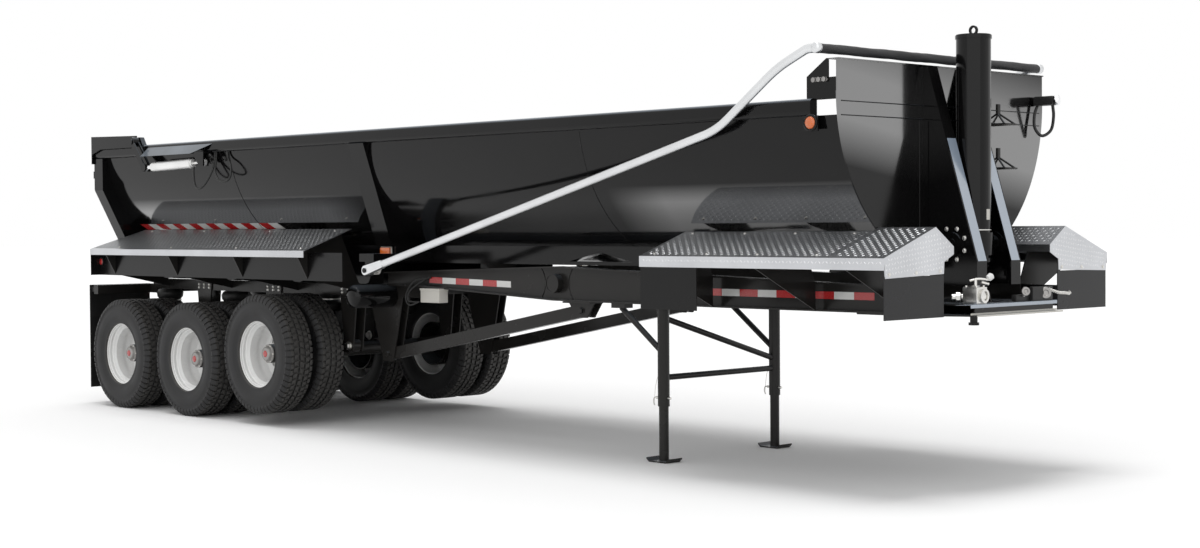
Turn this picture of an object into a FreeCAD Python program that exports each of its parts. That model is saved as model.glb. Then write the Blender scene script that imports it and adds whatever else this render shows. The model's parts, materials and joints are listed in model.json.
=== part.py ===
"""Half-round end-dump semi-trailer on three axles, parked on its landing legs.

Millimetres. +X points forward, +Y to the trailer's left and +Z up, with z = 0
on the ground. Stations along the trailer are measured from the rear axle, and
every solid is moved back by MIDDLE_X when it is written, so that the origin is
under the middle of the box that holds the trailer.
"""
import FreeCAD, Part
import math
import os
from FreeCAD import Vector

# Overall reach
NOSE_X = 9400.0
FLAP_REAR_X = -730.0
MIDDLE_X = (NOSE_X + FLAP_REAR_X) / 2
FIT = 0.3
RUNNING_GAP = 6.0

# Wheels and axles
TYRE_R = 526.0
TYRE_W = 275.0
TYRE_SIDES = 24
BEAD_R = 292.0
RIM_FLANGE_R = 315.0
RIM_HALF_W = 117.0
RIM_WALL = 9.0
DUAL_PITCH = 330.0
OUTER_TYRE_Y = 1136.0
INNER_TYRE_Y = OUTER_TYRE_Y - DUAL_PITCH
DISC_Y = (OUTER_TYRE_Y + INNER_TYRE_Y) / 2
HUB_R = 115.0
HUB_SEAT_R = 140.0
HAND_HOLES = 10
HAND_HOLE_R = 22.0
HAND_HOLE_PITCH_R = 172.0
DRUM_R = 205.0
SPINDLE_R = 45.0
AXLE_TUBE_R = 64.0
# name, station, how far the lift axle hangs above the road
AXLES = (
    ("rear", 0.0, 0.0),
    ("middle", 1192.0, 0.0),
    ("front", 2363.0, 99.0),
)

# Suspension
BEAM_Y = 550.0
BEAM_W = 88.0
BEAM_H = 110.0
HANGER_AHEAD = 480.0
HANGER_L = 130.0
BEAM_PIVOT_Z = 690.0
BEAM_PIN_R = 25.0
BAG_BEHIND = 250.0
BAG_R = 100.0
BAG_H = 230.0
PEDESTAL_R = 55.0

# Rear subframe
SILL_Y = 550.0
SILL_W = 90.0
SILL_TOP_Z = 1235.0
SILL_H = 100.0
SILL_REAR_X = -335.0
SILL_FRONT_X = 3900.0
CROSS_TUBE_STATIONS = (-250.0, 640.0, 1420.0, 2400.0, 3250.0)
CROSS_TUBE_W = 90.0
TAIL_BEAM_X = -640.0
TAIL_BEAM_W = 80.0
TAIL_BEAM_Z = 1090.0
TAIL_BEAM_H = 90.0
TAIL_BEAM_HALF = 1180.0

# Rear hinge of the tub
HINGE_X = -420.0
HINGE_Z = 1207.0
HINGE_PIN_R = 40.0
HINGE_EYE_R = 75.0
HINGE_CHEEK_T = 20.0
HINGE_LUG_T = 38.0

# Front rails, as I-beams of changing depth
RAIL_Y = 600.0
RAIL_FLANGE_W = 110.0
RAIL_FLANGE_T = 12.0
RAIL_WEB_T = 10.0
# station, bottom, top
RAIL_SECTIONS = (
    (3420.0, 1235.0, 1352.0),
    (3900.0, 1235.0, 1368.0),
    (5580.0, 1157.0, 1424.0),
    (7390.0, 1150.0, 1372.0),
    (9000.0, 1150.0, 1325.0),
)
BOSS_X = 5576.0
BOSS_Z = 1291.0
BOSS_R = 75.0
BOSS_WALL = 10.0
CROSSMEMBER_STATIONS = (3750.0, 4650.0, 6480.0, 7400.0, 8300.0)
CROSSMEMBER_W = 60.0
CROSSMEMBER_H = 80.0

# Coupler, kingpin and the cradle under the hoist
PLATE_Z = 1140.0
PLATE_T = 10.0
COUPLER_REAR_X = 8560.0
BOX_TOP_Z = 1215.0
BOX_HALF_W = 450.0
BOX_WALL = 10.0
HOIST_X = 9030.0
KINGPIN_R = 25.4
KINGPIN_COLLAR_R = 36.5
KINGPIN_COLLAR_H = 16.0
KINGPIN_HEAD_R = 35.7
KINGPIN_HEAD_H = 19.0
KINGPIN_L = 84.0
KINGPIN_FLANGE_R = 47.0
KINGPIN_FLANGE_T = 8.0
CRADLE_PIN_Z = 1245.0
CRADLE_CHEEK_Y = 62.0
CRADLE_CHEEK_T = 15.0
CRADLE_HALF_L = 110.0

# Draft arms
ARM_REAR_X = 3400.0
ARM_REAR_Z = 640.0
ARM_FRONT_X = 5840.0
ARM_FRONT_Z = 1085.0
ARM_W = 64.0
ARM_H = 100.0
ARM_EYE_R = 55.0
ARM_PIN_R = 22.0
CLEVIS_T = 12.0

# Landing legs
LEG_X = 6742.0
LEG_Y = 620.0
SLEEVE_R = 44.0
SLEEVE_BORE_R = 38.0
SLEEVE_FOOT_Z = 409.0
LEG_TUBE_R = 36.0
LEG_LIFT = 340.0
LEG_TOP_PLATE = 160.0
LEG_TOP_PLATE_T = 12.0
FOOT_L = 220.0
FOOT_W = 150.0
FOOT_T = 10.0
FOOT_TURN_UP = 22.0
BRACE_R = 22.0
BRACE_Z = 620.0
DIAGONAL_HIGH_Z = 1060.0
DIAGONAL_LOW_Z = 705.0
STRUT_LEG_Z = 780.0
STRUT_RAIL_X = 6290.0

# Fender decks of tread plate
DECK_T = 5.0
FRONT_DECK_REAR_X = 7153.0
FRONT_DECK_NOSE_X = 9263.0
FRONT_DECK_Y = 1280.0
FRONT_DECK_Z = 1526.0
FRONT_DECK_LIP = 75.0
FRONT_DECK_TUB_Y = 812.0
RIDGE_Y = 745.0
RIDGE_Z = 1715.0
INNER_SLOPE_Y = 553.0
INNER_SLOPE_Z = 1590.0
INNER_LIP = 50.0
REAR_DECK_Y = 1295.0
REAR_DECK_Z = 1541.0
REAR_DECK_LIP = 57.0
REAR_DECK_INNER_Y = 850.0
REAR_DECK_INNER_Z = 1725.0
REAR_DECK_REAR_X = -498.0
REAR_DECK_FRONT_X = 3147.0
REAR_DECK_REAR_SKEW = 288.0
REAR_DECK_FRONT_SKEW = 93.0

# Black panels that hang under the decks, with the outriggers that carry them
PANEL_T = 6.0
FRONT_PANEL_Z = 1142.0
FRONT_PANEL_TOP_Z = 1400.0
FRONT_PANEL_INNER_Y = 662.0
FLAP_FRONT_X = 7690.0
FLAP_LOW_Z = 1160.0
OUTRIGGER_T = 10.0
FRONT_OUTRIGGERS = (7260.0, 8200.0, 8950.0)
REAR_OUTRIGGERS = (-200.0, 950.0, 2050.0, 3050.0)
SKIRT_Y = 1190.0
SKIRT_LOW_Z = 1284.0
SKIRT_FRONT_X = 3560.0
MUD_FLAP_T = 8.0
MUD_FLAP_INNER_Y = 506.0
MUD_FLAP_OUTER_Y = 1180.0
MUD_FLAP_LOW_Z = 155.0

# Tub
TUB_AXIS_Z = 2580.0
TUB_R = 1163.0
TUB_WALL = 8.0
TUB_REAR_X = -560.0
TAIL_FRAME_L = 157.0
BULKHEAD_X = 8800.0
BULKHEAD_T = 10.0
BULKHEAD_TOP_Z = 2790.0
BULKHEAD_HALF_W = 1160.0
# stations where the rolled shell plates meet
SHELL_SEAMS = (1800.0, 6420.0)
TAIL_OUTLINE = ((1200.0, 2120.0), (950.0, 1630.0), (620.0, 1385.0))

# Steps on the front wall
STEP_TOPS = (2565.0, 2260.0)
STEP_Y = 610.0
STEP_W = 150.0
STEP_H = 150.0
STEP_OUT = 110.0
STEP_T = 6.0

# Top rails
TOP_RAIL_LOW_Z = 2430.0
TOP_RAIL_TOP_Z = 2540.0
TOP_RAIL_INNER_Y = 1130.0
TOP_RAIL_OUTER_Y = 1200.0
TOP_RAIL_ROUND = 28.0
TOP_RAIL_FRONT_X = 8620.0
GUSSET_REAR_X = 8560.0
GUSSET_T = 8.0

# Side posts and the outriggers of the tarp bow
POST_X = 3770.0
POST_W = 210.0
POST_TOP_W = 280.0
POST_FOOT_Y = 910.0
POST_FOOT_Z = 1575.0

# Tub sills
TUB_SILL_LOW_Z = SILL_TOP_Z + RUNNING_GAP + 1.0
TUB_SILL_STEP_X = 3340.0
TUB_SILL_HIGH_Z = 1436.0
# triangular windows in the sills: rear and front corner, peak, base height
SILL_WINDOWS = (
    (5700.0, 6400.0, 1535.0, 1462.0),
)

# Doghouse round the hoist
DOGHOUSE_Y = 245.0
DOGHOUSE_T = 10.0
DOGHOUSE_FLANGE = 100.0
DOGHOUSE_TOP_X = 8840.0
DOGHOUSE_KNEE_X = 9230.0
DOGHOUSE_KNEE_Z = 1490.0
DOGHOUSE_LOW_Z = 1330.0

# Telescopic hoist
TRUNNION_Z = 1600.0
TRUNNION_PIN_R = 40.0
TRUNNION_BOSS_R = 80.0
COLLAR_R = 132.0
COLLAR_H = 150.0
BARREL_R = 115.0
BARREL_BORE_R = 105.0
BARREL_LOW_Z = 1480.0
BARREL_TOP_Z = 2990.0
NEST_TOP_Z = 2930.0
GUIDE_H = 40.0
LIFT_EYE_R = 33.0
LIFT_EYE_BORE_R = 19.0
LIFT_EYE_T = 14.0
HOIST_SHAFT_R = 25.0
HOIST_EYE_R = 50.0
HOIST_EYE_HALF_W = 44.0
# outer radius, bore radius, lower end
STAGES = (
    (100.0, 90.0, 1445.0),
    (85.0, 76.0, 1410.0),
    (71.0, 62.0, 1375.0),
    (57.0, 49.0, 1340.0),
    (44.0, 0.0, CRADLE_PIN_Z),
)

# Tailgate, its cranks and its cylinders
GATE_GAP = 6.0
GATE_T = 12.0
GATE_RIB = 40.0
GATE_TOP_Z = 2520.0
GATE_PIN_X = 281.0
GATE_PIN_Z = 2569.0
GATE_PIN_R = 25.0
GATE_ARM_Y = 1206.0
GATE_ARM_T = 16.0
CRANK_EYE_X = 494.0
CRANK_EYE_Z = 2318.0
CRANK_R = 40.0
CRANK_GAP = 36.0
CRANK_OUTER_T = 12.0
CYLINDER_Y = GATE_ARM_Y + GATE_ARM_T + CRANK_GAP / 2
CYLINDER_R = 44.0
CYLINDER_PIVOT_X = 1520.0
CYLINDER_PIVOT_Z = 2340.0
CYLINDER_REAR_X = 640.0
CYLINDER_FRONT_X = 1330.0
CYLINDER_BORE_R = 36.0
CYLINDER_NECK_R = 13.0
ROD_R = 20.0
ROD_EYE_R = 34.0
ROD_EYE_T = 24.0
HOOD_REAR_X = 475.0
HOOD_FRONT_X = 1613.0
HOOD_LOW_FRONT_X = 1332.0
HOOD_OUT = 90.0
HOOD_LOW_Z = 2422.0
HOOD_T = 5.0

# Hoses of the gate cylinders, as the corners of their runs
GATE_HOSE_R = 9.0
GATE_HOSE_ROUTES = (
    ((1345.0, 1240.0, 2293.0), (1335.0, 1240.0, 2190.0), (1385.0, 1236.0, 2090.0),
     (1500.0, 1226.0, 2120.0), (1584.0, 1184.0, 2270.0), (1586.0, 1166.0, 2370.0),
     (1586.0, 1166.0, 2429.7)),
    ((1614.0, 1166.0, 2429.7), (1614.0, 1166.0, 2360.0), (1612.0, 1187.0, 2270.0),
     (1670.0, 1195.0, 2180.0), (1790.0, 1195.0, 2150.0), (1890.0, 1192.0, 2190.0),
     (1880.0, 1182.0, 2310.0), (1800.0, 1166.0, 2370.0), (1800.0, 1166.0, 2429.7)),
)

# Tarp bow
BOW_Y = 1252.0
BOW_TUBE_W = 44.0
BOW_TUBE_H = 60.0
BOW_PIVOT = (3980.0, 1385.0)
BOW_KNEE = (7863.0, 2367.0)
BOW_UPPER = (8389.0, 2743.0)
BOW_ELBOW = (8640.0, 2850.0)
BOW_SOCKET_L = 230.0
BOW_PIN_R = 20.0
TARP_ROLL_X = 8720.0
TARP_ROLL_R = 34.0

# Lamps on the tub
ROUND_LAMP_X = 8615.0
ROUND_LAMP_Z = 2385.0
ROUND_LAMP_R = 48.0
FOOT_LAMP_W = 136.0
FOOT_HOLDER_W = 144.0
FOOT_LAMP_H = 62.0


def box(x0, x1, y0, y1, z0, z1):
    """A block between two corners."""
    return Part.makeBox(x1 - x0, y1 - y0, z1 - z0, Vector(x0, y0, z0))


def prism_xz(points, y0, y1):
    """A side outline given as (x, z), carried from y0 to y1."""
    ring = [Vector(x, y0, z) for x, z in points]
    face = Part.Face(Part.makePolygon(ring + ring[:1]))
    return face.extrude(Vector(0, y1 - y0, 0))


def prism_yz(points, x0, x1):
    """A cross outline given as (y, z), carried from x0 to x1."""
    ring = [Vector(x0, y, z) for y, z in points]
    face = Part.Face(Part.makePolygon(ring + ring[:1]))
    return face.extrude(Vector(x1 - x0, 0, 0))


def prism_xy(points, z0, z1):
    """A plan outline given as (x, y), carried from z0 to z1."""
    ring = [Vector(x, y, z0) for x, y in points]
    face = Part.Face(Part.makePolygon(ring + ring[:1]))
    return face.extrude(Vector(0, 0, z1 - z0))


def rod(start, end, radius):
    """A round bar between two points."""
    a = Vector(*start)
    b = Vector(*end)
    return Part.makeCylinder(radius, (b - a).Length, a, b - a)


def bar_xz(start, end, depth, y0, y1):
    """A flat-sided bar in a side plane between two (x, z) points."""
    along_x = end[0] - start[0]
    along_z = end[1] - start[1]
    length = math.hypot(along_x, along_z)
    off_x = -along_z / length * depth / 2
    off_z = along_x / length * depth / 2
    outline = (
        (start[0] + off_x, start[1] + off_z),
        (end[0] + off_x, end[1] + off_z),
        (end[0] - off_x, end[1] - off_z),
        (start[0] - off_x, start[1] - off_z),
    )
    return prism_xz(outline, y0, y1)


def joined(shapes):
    """Shapes welded into one, with flush faces merged."""
    first = shapes[0]
    if len(shapes) > 1:
        first = first.multiFuse(shapes[1:])
    return first.removeSplitter()


def mirrored(shape):
    """The same shape on the trailer's other side."""
    return shape.mirror(Vector(0, 0, 0), Vector(0, 1, 0))


def save(name, shape):
    """Writes one sub-part, moved to the trailer's own origin."""
    moved = shape.copy()
    moved.translate(Vector(-MIDDLE_X, 0, 0))
    moved.exportStep(os.path.join("parts", name + ".step"))


def save_pair(name, left_shape):
    """Writes a sub-part of the left side and its mirror image on the right."""
    save(name + "_left", left_shape)
    save(name + "_right", mirrored(left_shape))


def faceted_ring(stations, centre_x, centre_z, sides):
    """A closed ring of flat faces; stations are (y, radius), in order round it."""
    rings = []
    for y, radius in stations:
        corner_r = radius / math.cos(math.pi / sides)
        ring = []
        for k in range(sides):
            angle = 2 * math.pi * (k + 0.5) / sides
            ring.append(Vector(centre_x + corner_r * math.sin(angle), y,
                               centre_z - corner_r * math.cos(angle)))
        rings.append(ring)
    faces = []
    for ring, following in zip(rings, rings[1:] + rings[:1]):
        for k in range(sides):
            n = (k + 1) % sides
            corners = [ring[k], ring[n], following[n], following[k]]
            faces.append(Part.Face(Part.makePolygon(corners + corners[:1])))
    solid = Part.Solid(Part.Shell(faces))
    if solid.Volume < 0:
        return faceted_ring(stations[::-1], centre_x, centre_z, sides)
    return solid


def rail_edge(station, column):
    """Height of a rail's lower (1) or upper (2) edge at a station."""
    for a, b in zip(RAIL_SECTIONS, RAIL_SECTIONS[1:]):
        if station <= b[0]:
            share = (station - a[0]) / (b[0] - a[0])
            return a[column] + share * (b[column] - a[column])
    return RAIL_SECTIONS[-1][column]


def under_rail(station, half):
    """Highest level for a pad under a rail that reaches half to each side."""
    return min(rail_edge(station - half, 1), rail_edge(station + half, 1)) - FIT


def on_line(start, end, y):
    """Height at y on the line between two (y, z) points."""
    share = (y - start[0]) / (end[0] - start[0])
    return start[1] + share * (end[1] - start[1])


def tub_core(x0, x1, radius):
    """A round bar on the tub's axis, for cutting saddles and shells."""
    return rod((x0, 0, TUB_AXIS_Z), (x1, 0, TUB_AXIS_Z), radius)


def tyre(centre_y, x, z):
    """One tyre, with its bead seats, bulged walls and flat crown."""
    half = TYRE_W / 2
    bead = RIM_HALF_W - 5
    stations = (
        (centre_y - bead, BEAD_R + FIT),
        (centre_y - half, BEAD_R + 125),
        (centre_y - half + 8, TYRE_R - 35),
        (centre_y - half + 32, TYRE_R),
        (centre_y + half - 32, TYRE_R),
        (centre_y + half - 8, TYRE_R - 35),
        (centre_y + half, BEAD_R + 125),
        (centre_y + bead, BEAD_R + FIT),
    )
    return faceted_ring(stations, x, z, TYRE_SIDES)


def outer_rim(x, z):
    """The deep dished outer wheel."""
    edge = OUTER_TYRE_Y + RIM_HALF_W
    back = OUTER_TYRE_Y - RIM_HALF_W
    inside = BEAD_R - RIM_WALL
    stations = (
        (edge, RIM_FLANGE_R),
        (edge - 5, BEAD_R),
        (back, BEAD_R),
        (back + 6, inside),
        (DISC_Y, DRUM_R),
        (DISC_Y, HUB_R - 5),
        (DISC_Y + 12, HUB_R - 5),
        (DISC_Y + 12, DRUM_R),
        (back + 30, inside),
        (edge - 8, inside + 12),
    )
    return faceted_ring(stations, x, z, TYRE_SIDES)


def inner_rim(x, z):
    """The inner wheel, dished the other way and hidden between the tyres."""
    edge = INNER_TYRE_Y - RIM_HALF_W
    back = INNER_TYRE_Y + RIM_HALF_W
    stations = (
        (back, BEAD_R),
        (edge, BEAD_R),
        (edge, BEAD_R - RIM_WALL),
        (back - 18, BEAD_R - RIM_WALL),
        (DISC_Y - 12, HUB_R - 5),
        (DISC_Y, HUB_R - 5),
    )
    return faceted_ring(stations, x, z, TYRE_SIDES)


def wheel_pair(x, z):
    """Both wheels of one side with the hub and brake drum that carry them."""
    hub = rod((x, DISC_Y - 30, z), (x, DISC_Y + 45, z), HUB_R)
    nose = rod((x, DISC_Y, z), (x, DISC_Y + 165, z), HUB_R - 30)
    cap = rod((x, DISC_Y + 165, z), (x, DISC_Y + 195, z), HUB_R - 50)
    drum_inner = INNER_TYRE_Y - RIM_HALF_W + 35
    drum = rod((x, drum_inner, z), (x, DISC_Y - 20, z), DRUM_R)
    drum = drum.cut(rod((x, drum_inner, z), (x, DISC_Y - 45, z), DRUM_R - 16))
    seat = rod((x, DISC_Y - 30, z), (x, DISC_Y, z), HUB_SEAT_R)
    holes = [rod((x, drum_inner, z), (x, DISC_Y + 155, z), SPINDLE_R + FIT)]
    for k in range(HAND_HOLES):
        angle = 2 * math.pi * (k + 0.5) / HAND_HOLES
        hole_x = x + HAND_HOLE_PITCH_R * math.sin(angle)
        hole_z = z + HAND_HOLE_PITCH_R * math.cos(angle)
        holes.append(rod((hole_x, DISC_Y - 8, hole_z), (hole_x, DISC_Y + 40, hole_z),
                         HAND_HOLE_R))
    wheel = joined([outer_rim(x, z), inner_rim(x, z), hub, seat, nose, cap, drum])
    return wheel.cut(holes)


def make_wheels():
    """Tyres and wheels of the three axles."""
    for name, x, lift in AXLES:
        z = TYRE_R + lift
        tyres = Part.makeCompound([tyre(OUTER_TYRE_Y, x, z), tyre(INNER_TYRE_Y, x, z)])
        save_pair("tyres_" + name, tyres)
        save_pair("wheels_" + name, wheel_pair(x, z))


def make_axles():
    """Axle tubes with the trailing beams and air springs of each."""
    for name, x, lift in AXLES:
        z = TYRE_R + lift
        half = INNER_TYRE_Y - RIM_HALF_W + 5
        spindle = DISC_Y + 150
        pieces = [rod((x, -half, z), (x, half, z), AXLE_TUBE_R),
                  rod((x, -spindle, z), (x, spindle, z), SPINDLE_R)]
        bag_x = x - BAG_BEHIND
        for side in (-1, 1):
            y = side * BEAM_Y
            y0 = y - BEAM_W / 2
            y1 = y + BEAM_W / 2
            pivot = (x + HANGER_AHEAD, BEAM_PIVOT_Z)
            pieces.append(bar_xz(pivot, (x, z), BEAM_H, y0, y1))
            pieces.append(bar_xz((x, z), (bag_x - BAG_R, z), BEAM_H, y0, y1))
            pieces.append(rod((pivot[0], y0, pivot[1]), (pivot[0], y1, pivot[1]), BEAM_H / 2))
            bag_top = SILL_TOP_Z - SILL_H
            pieces.append(rod((bag_x, y, z), (bag_x, y, bag_top), PEDESTAL_R))
            pieces.append(rod((bag_x, y, bag_top - BAG_H), (bag_x, y, bag_top), BAG_R))
        outside = BEAM_Y + BEAM_W / 2
        bore = rod((x + HANGER_AHEAD, -outside, BEAM_PIVOT_Z),
                   (x + HANGER_AHEAD, outside, BEAM_PIVOT_Z), BEAM_PIN_R + FIT)
        save("axle_" + name, joined(pieces).cut(bore))


def make_subframe():
    """Rear frame: sills, cross tubes, tail beam and the hinge cheeks."""
    low = SILL_TOP_Z - SILL_H
    inner = SILL_Y - SILL_W / 2
    outer = SILL_Y + SILL_W / 2
    pieces = []
    for side in (-1, 1):
        y0 = min(side * inner, side * outer)
        y1 = y0 + SILL_W
        pieces.append(box(SILL_REAR_X, SILL_FRONT_X, y0, y1, low, SILL_TOP_Z))
        for cheek in (y0, y1 - HINGE_CHEEK_T):
            pieces.append(prism_xz(((SILL_REAR_X + 40, low), (SILL_REAR_X + 40, SILL_TOP_Z),
                                    (HINGE_X, SILL_TOP_Z), (HINGE_X, low)),
                                   cheek, cheek + HINGE_CHEEK_T))
            pieces.append(rod((HINGE_X, cheek, HINGE_Z),
                              (HINGE_X, cheek + HINGE_CHEEK_T, HINGE_Z), HINGE_EYE_R))
            pieces.append(box(TAIL_BEAM_X, HINGE_X, cheek, cheek + HINGE_CHEEK_T,
                              TAIL_BEAM_Z, TAIL_BEAM_Z + TAIL_BEAM_H))
        pieces.append(rod((HINGE_X, y0, HINGE_Z), (HINGE_X, y1, HINGE_Z), HINGE_PIN_R))
    for x in CROSS_TUBE_STATIONS:
        pieces.append(box(x, x + CROSS_TUBE_W, -inner, inner, low, SILL_TOP_Z - 10))
    pieces.append(box(TAIL_BEAM_X, TAIL_BEAM_X + TAIL_BEAM_W, -TAIL_BEAM_HALF, TAIL_BEAM_HALF,
                      TAIL_BEAM_Z, TAIL_BEAM_Z + TAIL_BEAM_H))
    save("subframe", joined(pieces))


def make_spring_hangers():
    """Hangers of the trailing beams and of the draft arms, each with its pin."""
    y0 = SILL_Y - SILL_W / 2
    y1 = SILL_Y + SILL_W / 2
    left = []
    for _, x, _ in AXLES:
        pivot_x = x + HANGER_AHEAD
        pin = rod((pivot_x, y0 - CLEVIS_T, BEAM_PIVOT_Z), (pivot_x, y1 + CLEVIS_T, BEAM_PIVOT_Z),
                  BEAM_PIN_R)
        left.append(joined([hanger(pivot_x, y0 - CLEVIS_T), hanger(pivot_x, y1), pin]))
    pin = rod((ARM_REAR_X, y0, ARM_REAR_Z), (ARM_REAR_X, y1, ARM_REAR_Z), ARM_PIN_R)
    left.append(joined([arm_hanger(y0), arm_hanger(y1 - CLEVIS_T), pin]))
    save("spring_hangers", Part.makeCompound(left + [mirrored(one) for one in left]))


def hanger(x, y):
    """One cheek of a spring hanger, tapered down to the beam's pivot."""
    top = SILL_TOP_Z - 30
    outline = ((x - HANGER_L, top), (x + HANGER_L, top), (x + 60, BEAM_PIVOT_Z - 50),
               (x - 60, BEAM_PIVOT_Z - 50))
    return prism_xz(outline, y, y + CLEVIS_T)


def arm_hanger(y):
    """One cheek of the hanger that holds a draft arm's rear eye."""
    top = SILL_TOP_Z - SILL_H
    outline = ((ARM_REAR_X - 260, top), (ARM_REAR_X + 200, top),
               (ARM_REAR_X + 70, ARM_REAR_Z - 60), (ARM_REAR_X - 70, ARM_REAR_Z - 60))
    return prism_xz(outline, y, y + CLEVIS_T)


def make_rails():
    """The two front rails."""
    lower = [(x, low) for x, low, _ in RAIL_SECTIONS]
    upper = [(x, high) for x, _, high in reversed(RAIL_SECTIONS)]
    half = RAIL_FLANGE_W / 2
    web = RAIL_WEB_T / 2
    rail = prism_xz(lower + upper, RAIL_Y - half, RAIL_Y + half)
    first = RAIL_SECTIONS[0][0] - 10
    last = RAIL_SECTIONS[-1][0] + 10
    pocket = [(first, rail_edge(RAIL_SECTIONS[0][0], 1) + RAIL_FLANGE_T)]
    pocket += [(x, low + RAIL_FLANGE_T) for x, low, _ in RAIL_SECTIONS]
    pocket += [(last, RAIL_SECTIONS[-1][1] + RAIL_FLANGE_T)]
    pocket += [(last, RAIL_SECTIONS[-1][2] - RAIL_FLANGE_T)]
    pocket += [(x, high - RAIL_FLANGE_T) for x, _, high in reversed(RAIL_SECTIONS)]
    pocket += [(first, RAIL_SECTIONS[0][2] - RAIL_FLANGE_T)]
    rail = rail.cut(prism_xz(pocket, RAIL_Y + web, RAIL_Y + half + 1))
    rail = rail.cut(prism_xz(pocket, RAIL_Y - half - 1, RAIL_Y - web))
    rail = rail.cut(rod((BOSS_X, RAIL_Y - half, BOSS_Z), (BOSS_X, RAIL_Y + half, BOSS_Z),
                        BOSS_R + FIT))
    save_pair("frame_rail", rail)


def make_crossmembers():
    """Cross beams between the rails, and the large tube that runs through them."""
    reach = RAIL_Y - RAIL_WEB_T / 2
    pieces = []
    for x in CROSSMEMBER_STATIONS:
        middle = (rail_edge(x, 1) + rail_edge(x, 2)) / 2
        pieces.append(box(x, x + CROSSMEMBER_W, -reach, reach,
                          middle - CROSSMEMBER_H / 2, middle + CROSSMEMBER_H / 2))
    half = RAIL_Y + RAIL_FLANGE_W / 2 + 8
    boss = rod((BOSS_X, -half, BOSS_Z), (BOSS_X, half, BOSS_Z), BOSS_R)
    bore = rod((BOSS_X, -half, BOSS_Z), (BOSS_X, half, BOSS_Z), BOSS_R - BOSS_WALL)
    pieces.append(boss.cut(bore))
    save("frame_crossmembers", Part.makeCompound(pieces))


def make_coupler():
    """Upper coupler: the skid plate, its box and the cradle under the hoist."""
    half = RAIL_Y + RAIL_FLANGE_W / 2
    outline = ((COUPLER_REAR_X, -half), (HOIST_X, -half), (NOSE_X - 190, -540),
               (NOSE_X, -BOX_HALF_W), (NOSE_X, BOX_HALF_W), (NOSE_X - 190, 540),
               (HOIST_X, half), (COUPLER_REAR_X, half))
    top = PLATE_Z + PLATE_T
    front = NOSE_X - 48
    rear = COUPLER_REAR_X + 40
    inner = RAIL_Y - RAIL_FLANGE_W / 2 - 1
    collar_hole = rod((HOIST_X, 0, PLATE_Z), (HOIST_X, 0, top), KINGPIN_COLLAR_R + FIT)
    pieces = [prism_xy(outline, PLATE_Z, top).cut(collar_hole)]
    pieces.append(box(front - BOX_WALL, front, -BOX_HALF_W, BOX_HALF_W, top, BOX_TOP_Z))
    for y in (-inner, -150.0, 150.0 - BOX_WALL, inner - BOX_WALL):
        reach = front if abs(y) < BOX_HALF_W else HOIST_X
        pieces.append(box(rear, reach, y, y + BOX_WALL, top, BOX_TOP_Z))
    pieces.append(box(rear, rear + BOX_WALL, -inner, inner, top, BOX_TOP_Z))
    lid = box(rear, front, -BOX_HALF_W, BOX_HALF_W, BOX_TOP_Z - BOX_WALL, BOX_TOP_Z)
    well = box(HOIST_X - 150, HOIST_X + 150, -140, 140, top, BOX_TOP_Z)
    pieces.append(lid.cut(well))
    for side in (-1, 1):
        y0 = side * CRADLE_CHEEK_Y - CRADLE_CHEEK_T / 2
        pieces.append(cradle_cheek(y0, y0 + CRADLE_CHEEK_T, top))
    save("coupler", joined(pieces))


def cradle_cheek(y0, y1, base):
    """A cheek with a seat for the hoist's shaft, open upwards and to the rear."""
    seat = HOIST_SHAFT_R + FIT
    cheek = prism_xz(((HOIST_X - CRADLE_HALF_L, base), (HOIST_X + CRADLE_HALF_L, base),
                      (HOIST_X + 75, CRADLE_PIN_Z + 45), (HOIST_X + 20, CRADLE_PIN_Z + 45),
                      (HOIST_X - 75, CRADLE_PIN_Z - 10)), y0, y1)
    cheek = cheek.cut(rod((HOIST_X, y0, CRADLE_PIN_Z), (HOIST_X, y1, CRADLE_PIN_Z), seat))
    back = HOIST_X - 150
    high = CRADLE_PIN_Z + 150
    slope = seat * math.sqrt(0.5)
    way = ((HOIST_X - slope, CRADLE_PIN_Z - slope), (HOIST_X + slope, CRADLE_PIN_Z + slope),
           (HOIST_X + slope, high), (back, high), (back, CRADLE_PIN_Z - slope))
    return cheek.cut(prism_xz(way, y0, y1))


def make_kingpin():
    """Kingpin with its collar, its lower head and the flange that lies on the plate."""
    collar_low = PLATE_Z - KINGPIN_COLLAR_H
    tip = PLATE_Z - KINGPIN_L
    top = PLATE_Z + PLATE_T
    pieces = [rod((HOIST_X, 0, collar_low), (HOIST_X, 0, top), KINGPIN_COLLAR_R),
              rod((HOIST_X, 0, top), (HOIST_X, 0, top + KINGPIN_FLANGE_T), KINGPIN_FLANGE_R),
              rod((HOIST_X, 0, tip), (HOIST_X, 0, PLATE_Z), KINGPIN_R),
              rod((HOIST_X, 0, tip), (HOIST_X, 0, tip + KINGPIN_HEAD_H), KINGPIN_HEAD_R)]
    save("kingpin", joined(pieces))


def make_draft_arms():
    """Long arms from the suspension's front up to the rails, with their pins."""
    y0 = SILL_Y - ARM_W / 2
    y1 = SILL_Y + ARM_W / 2
    rear = (ARM_REAR_X, ARM_REAR_Z)
    front = (ARM_FRONT_X, ARM_FRONT_Z)
    arm = [bar_xz(rear, front, ARM_H, y0, y1)]
    for x, z in (rear, front):
        arm.append(rod((x, y0, z), (x, y1, z), ARM_EYE_R))
    bores = [rod((x, y0, z), (x, y1, z), ARM_PIN_R + FIT) for x, z in (rear, front)]
    arm = joined(arm).cut(bores)
    left = [arm, clevis_block()]
    save("draft_arms", Part.makeCompound(left + [mirrored(one) for one in left]))


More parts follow.
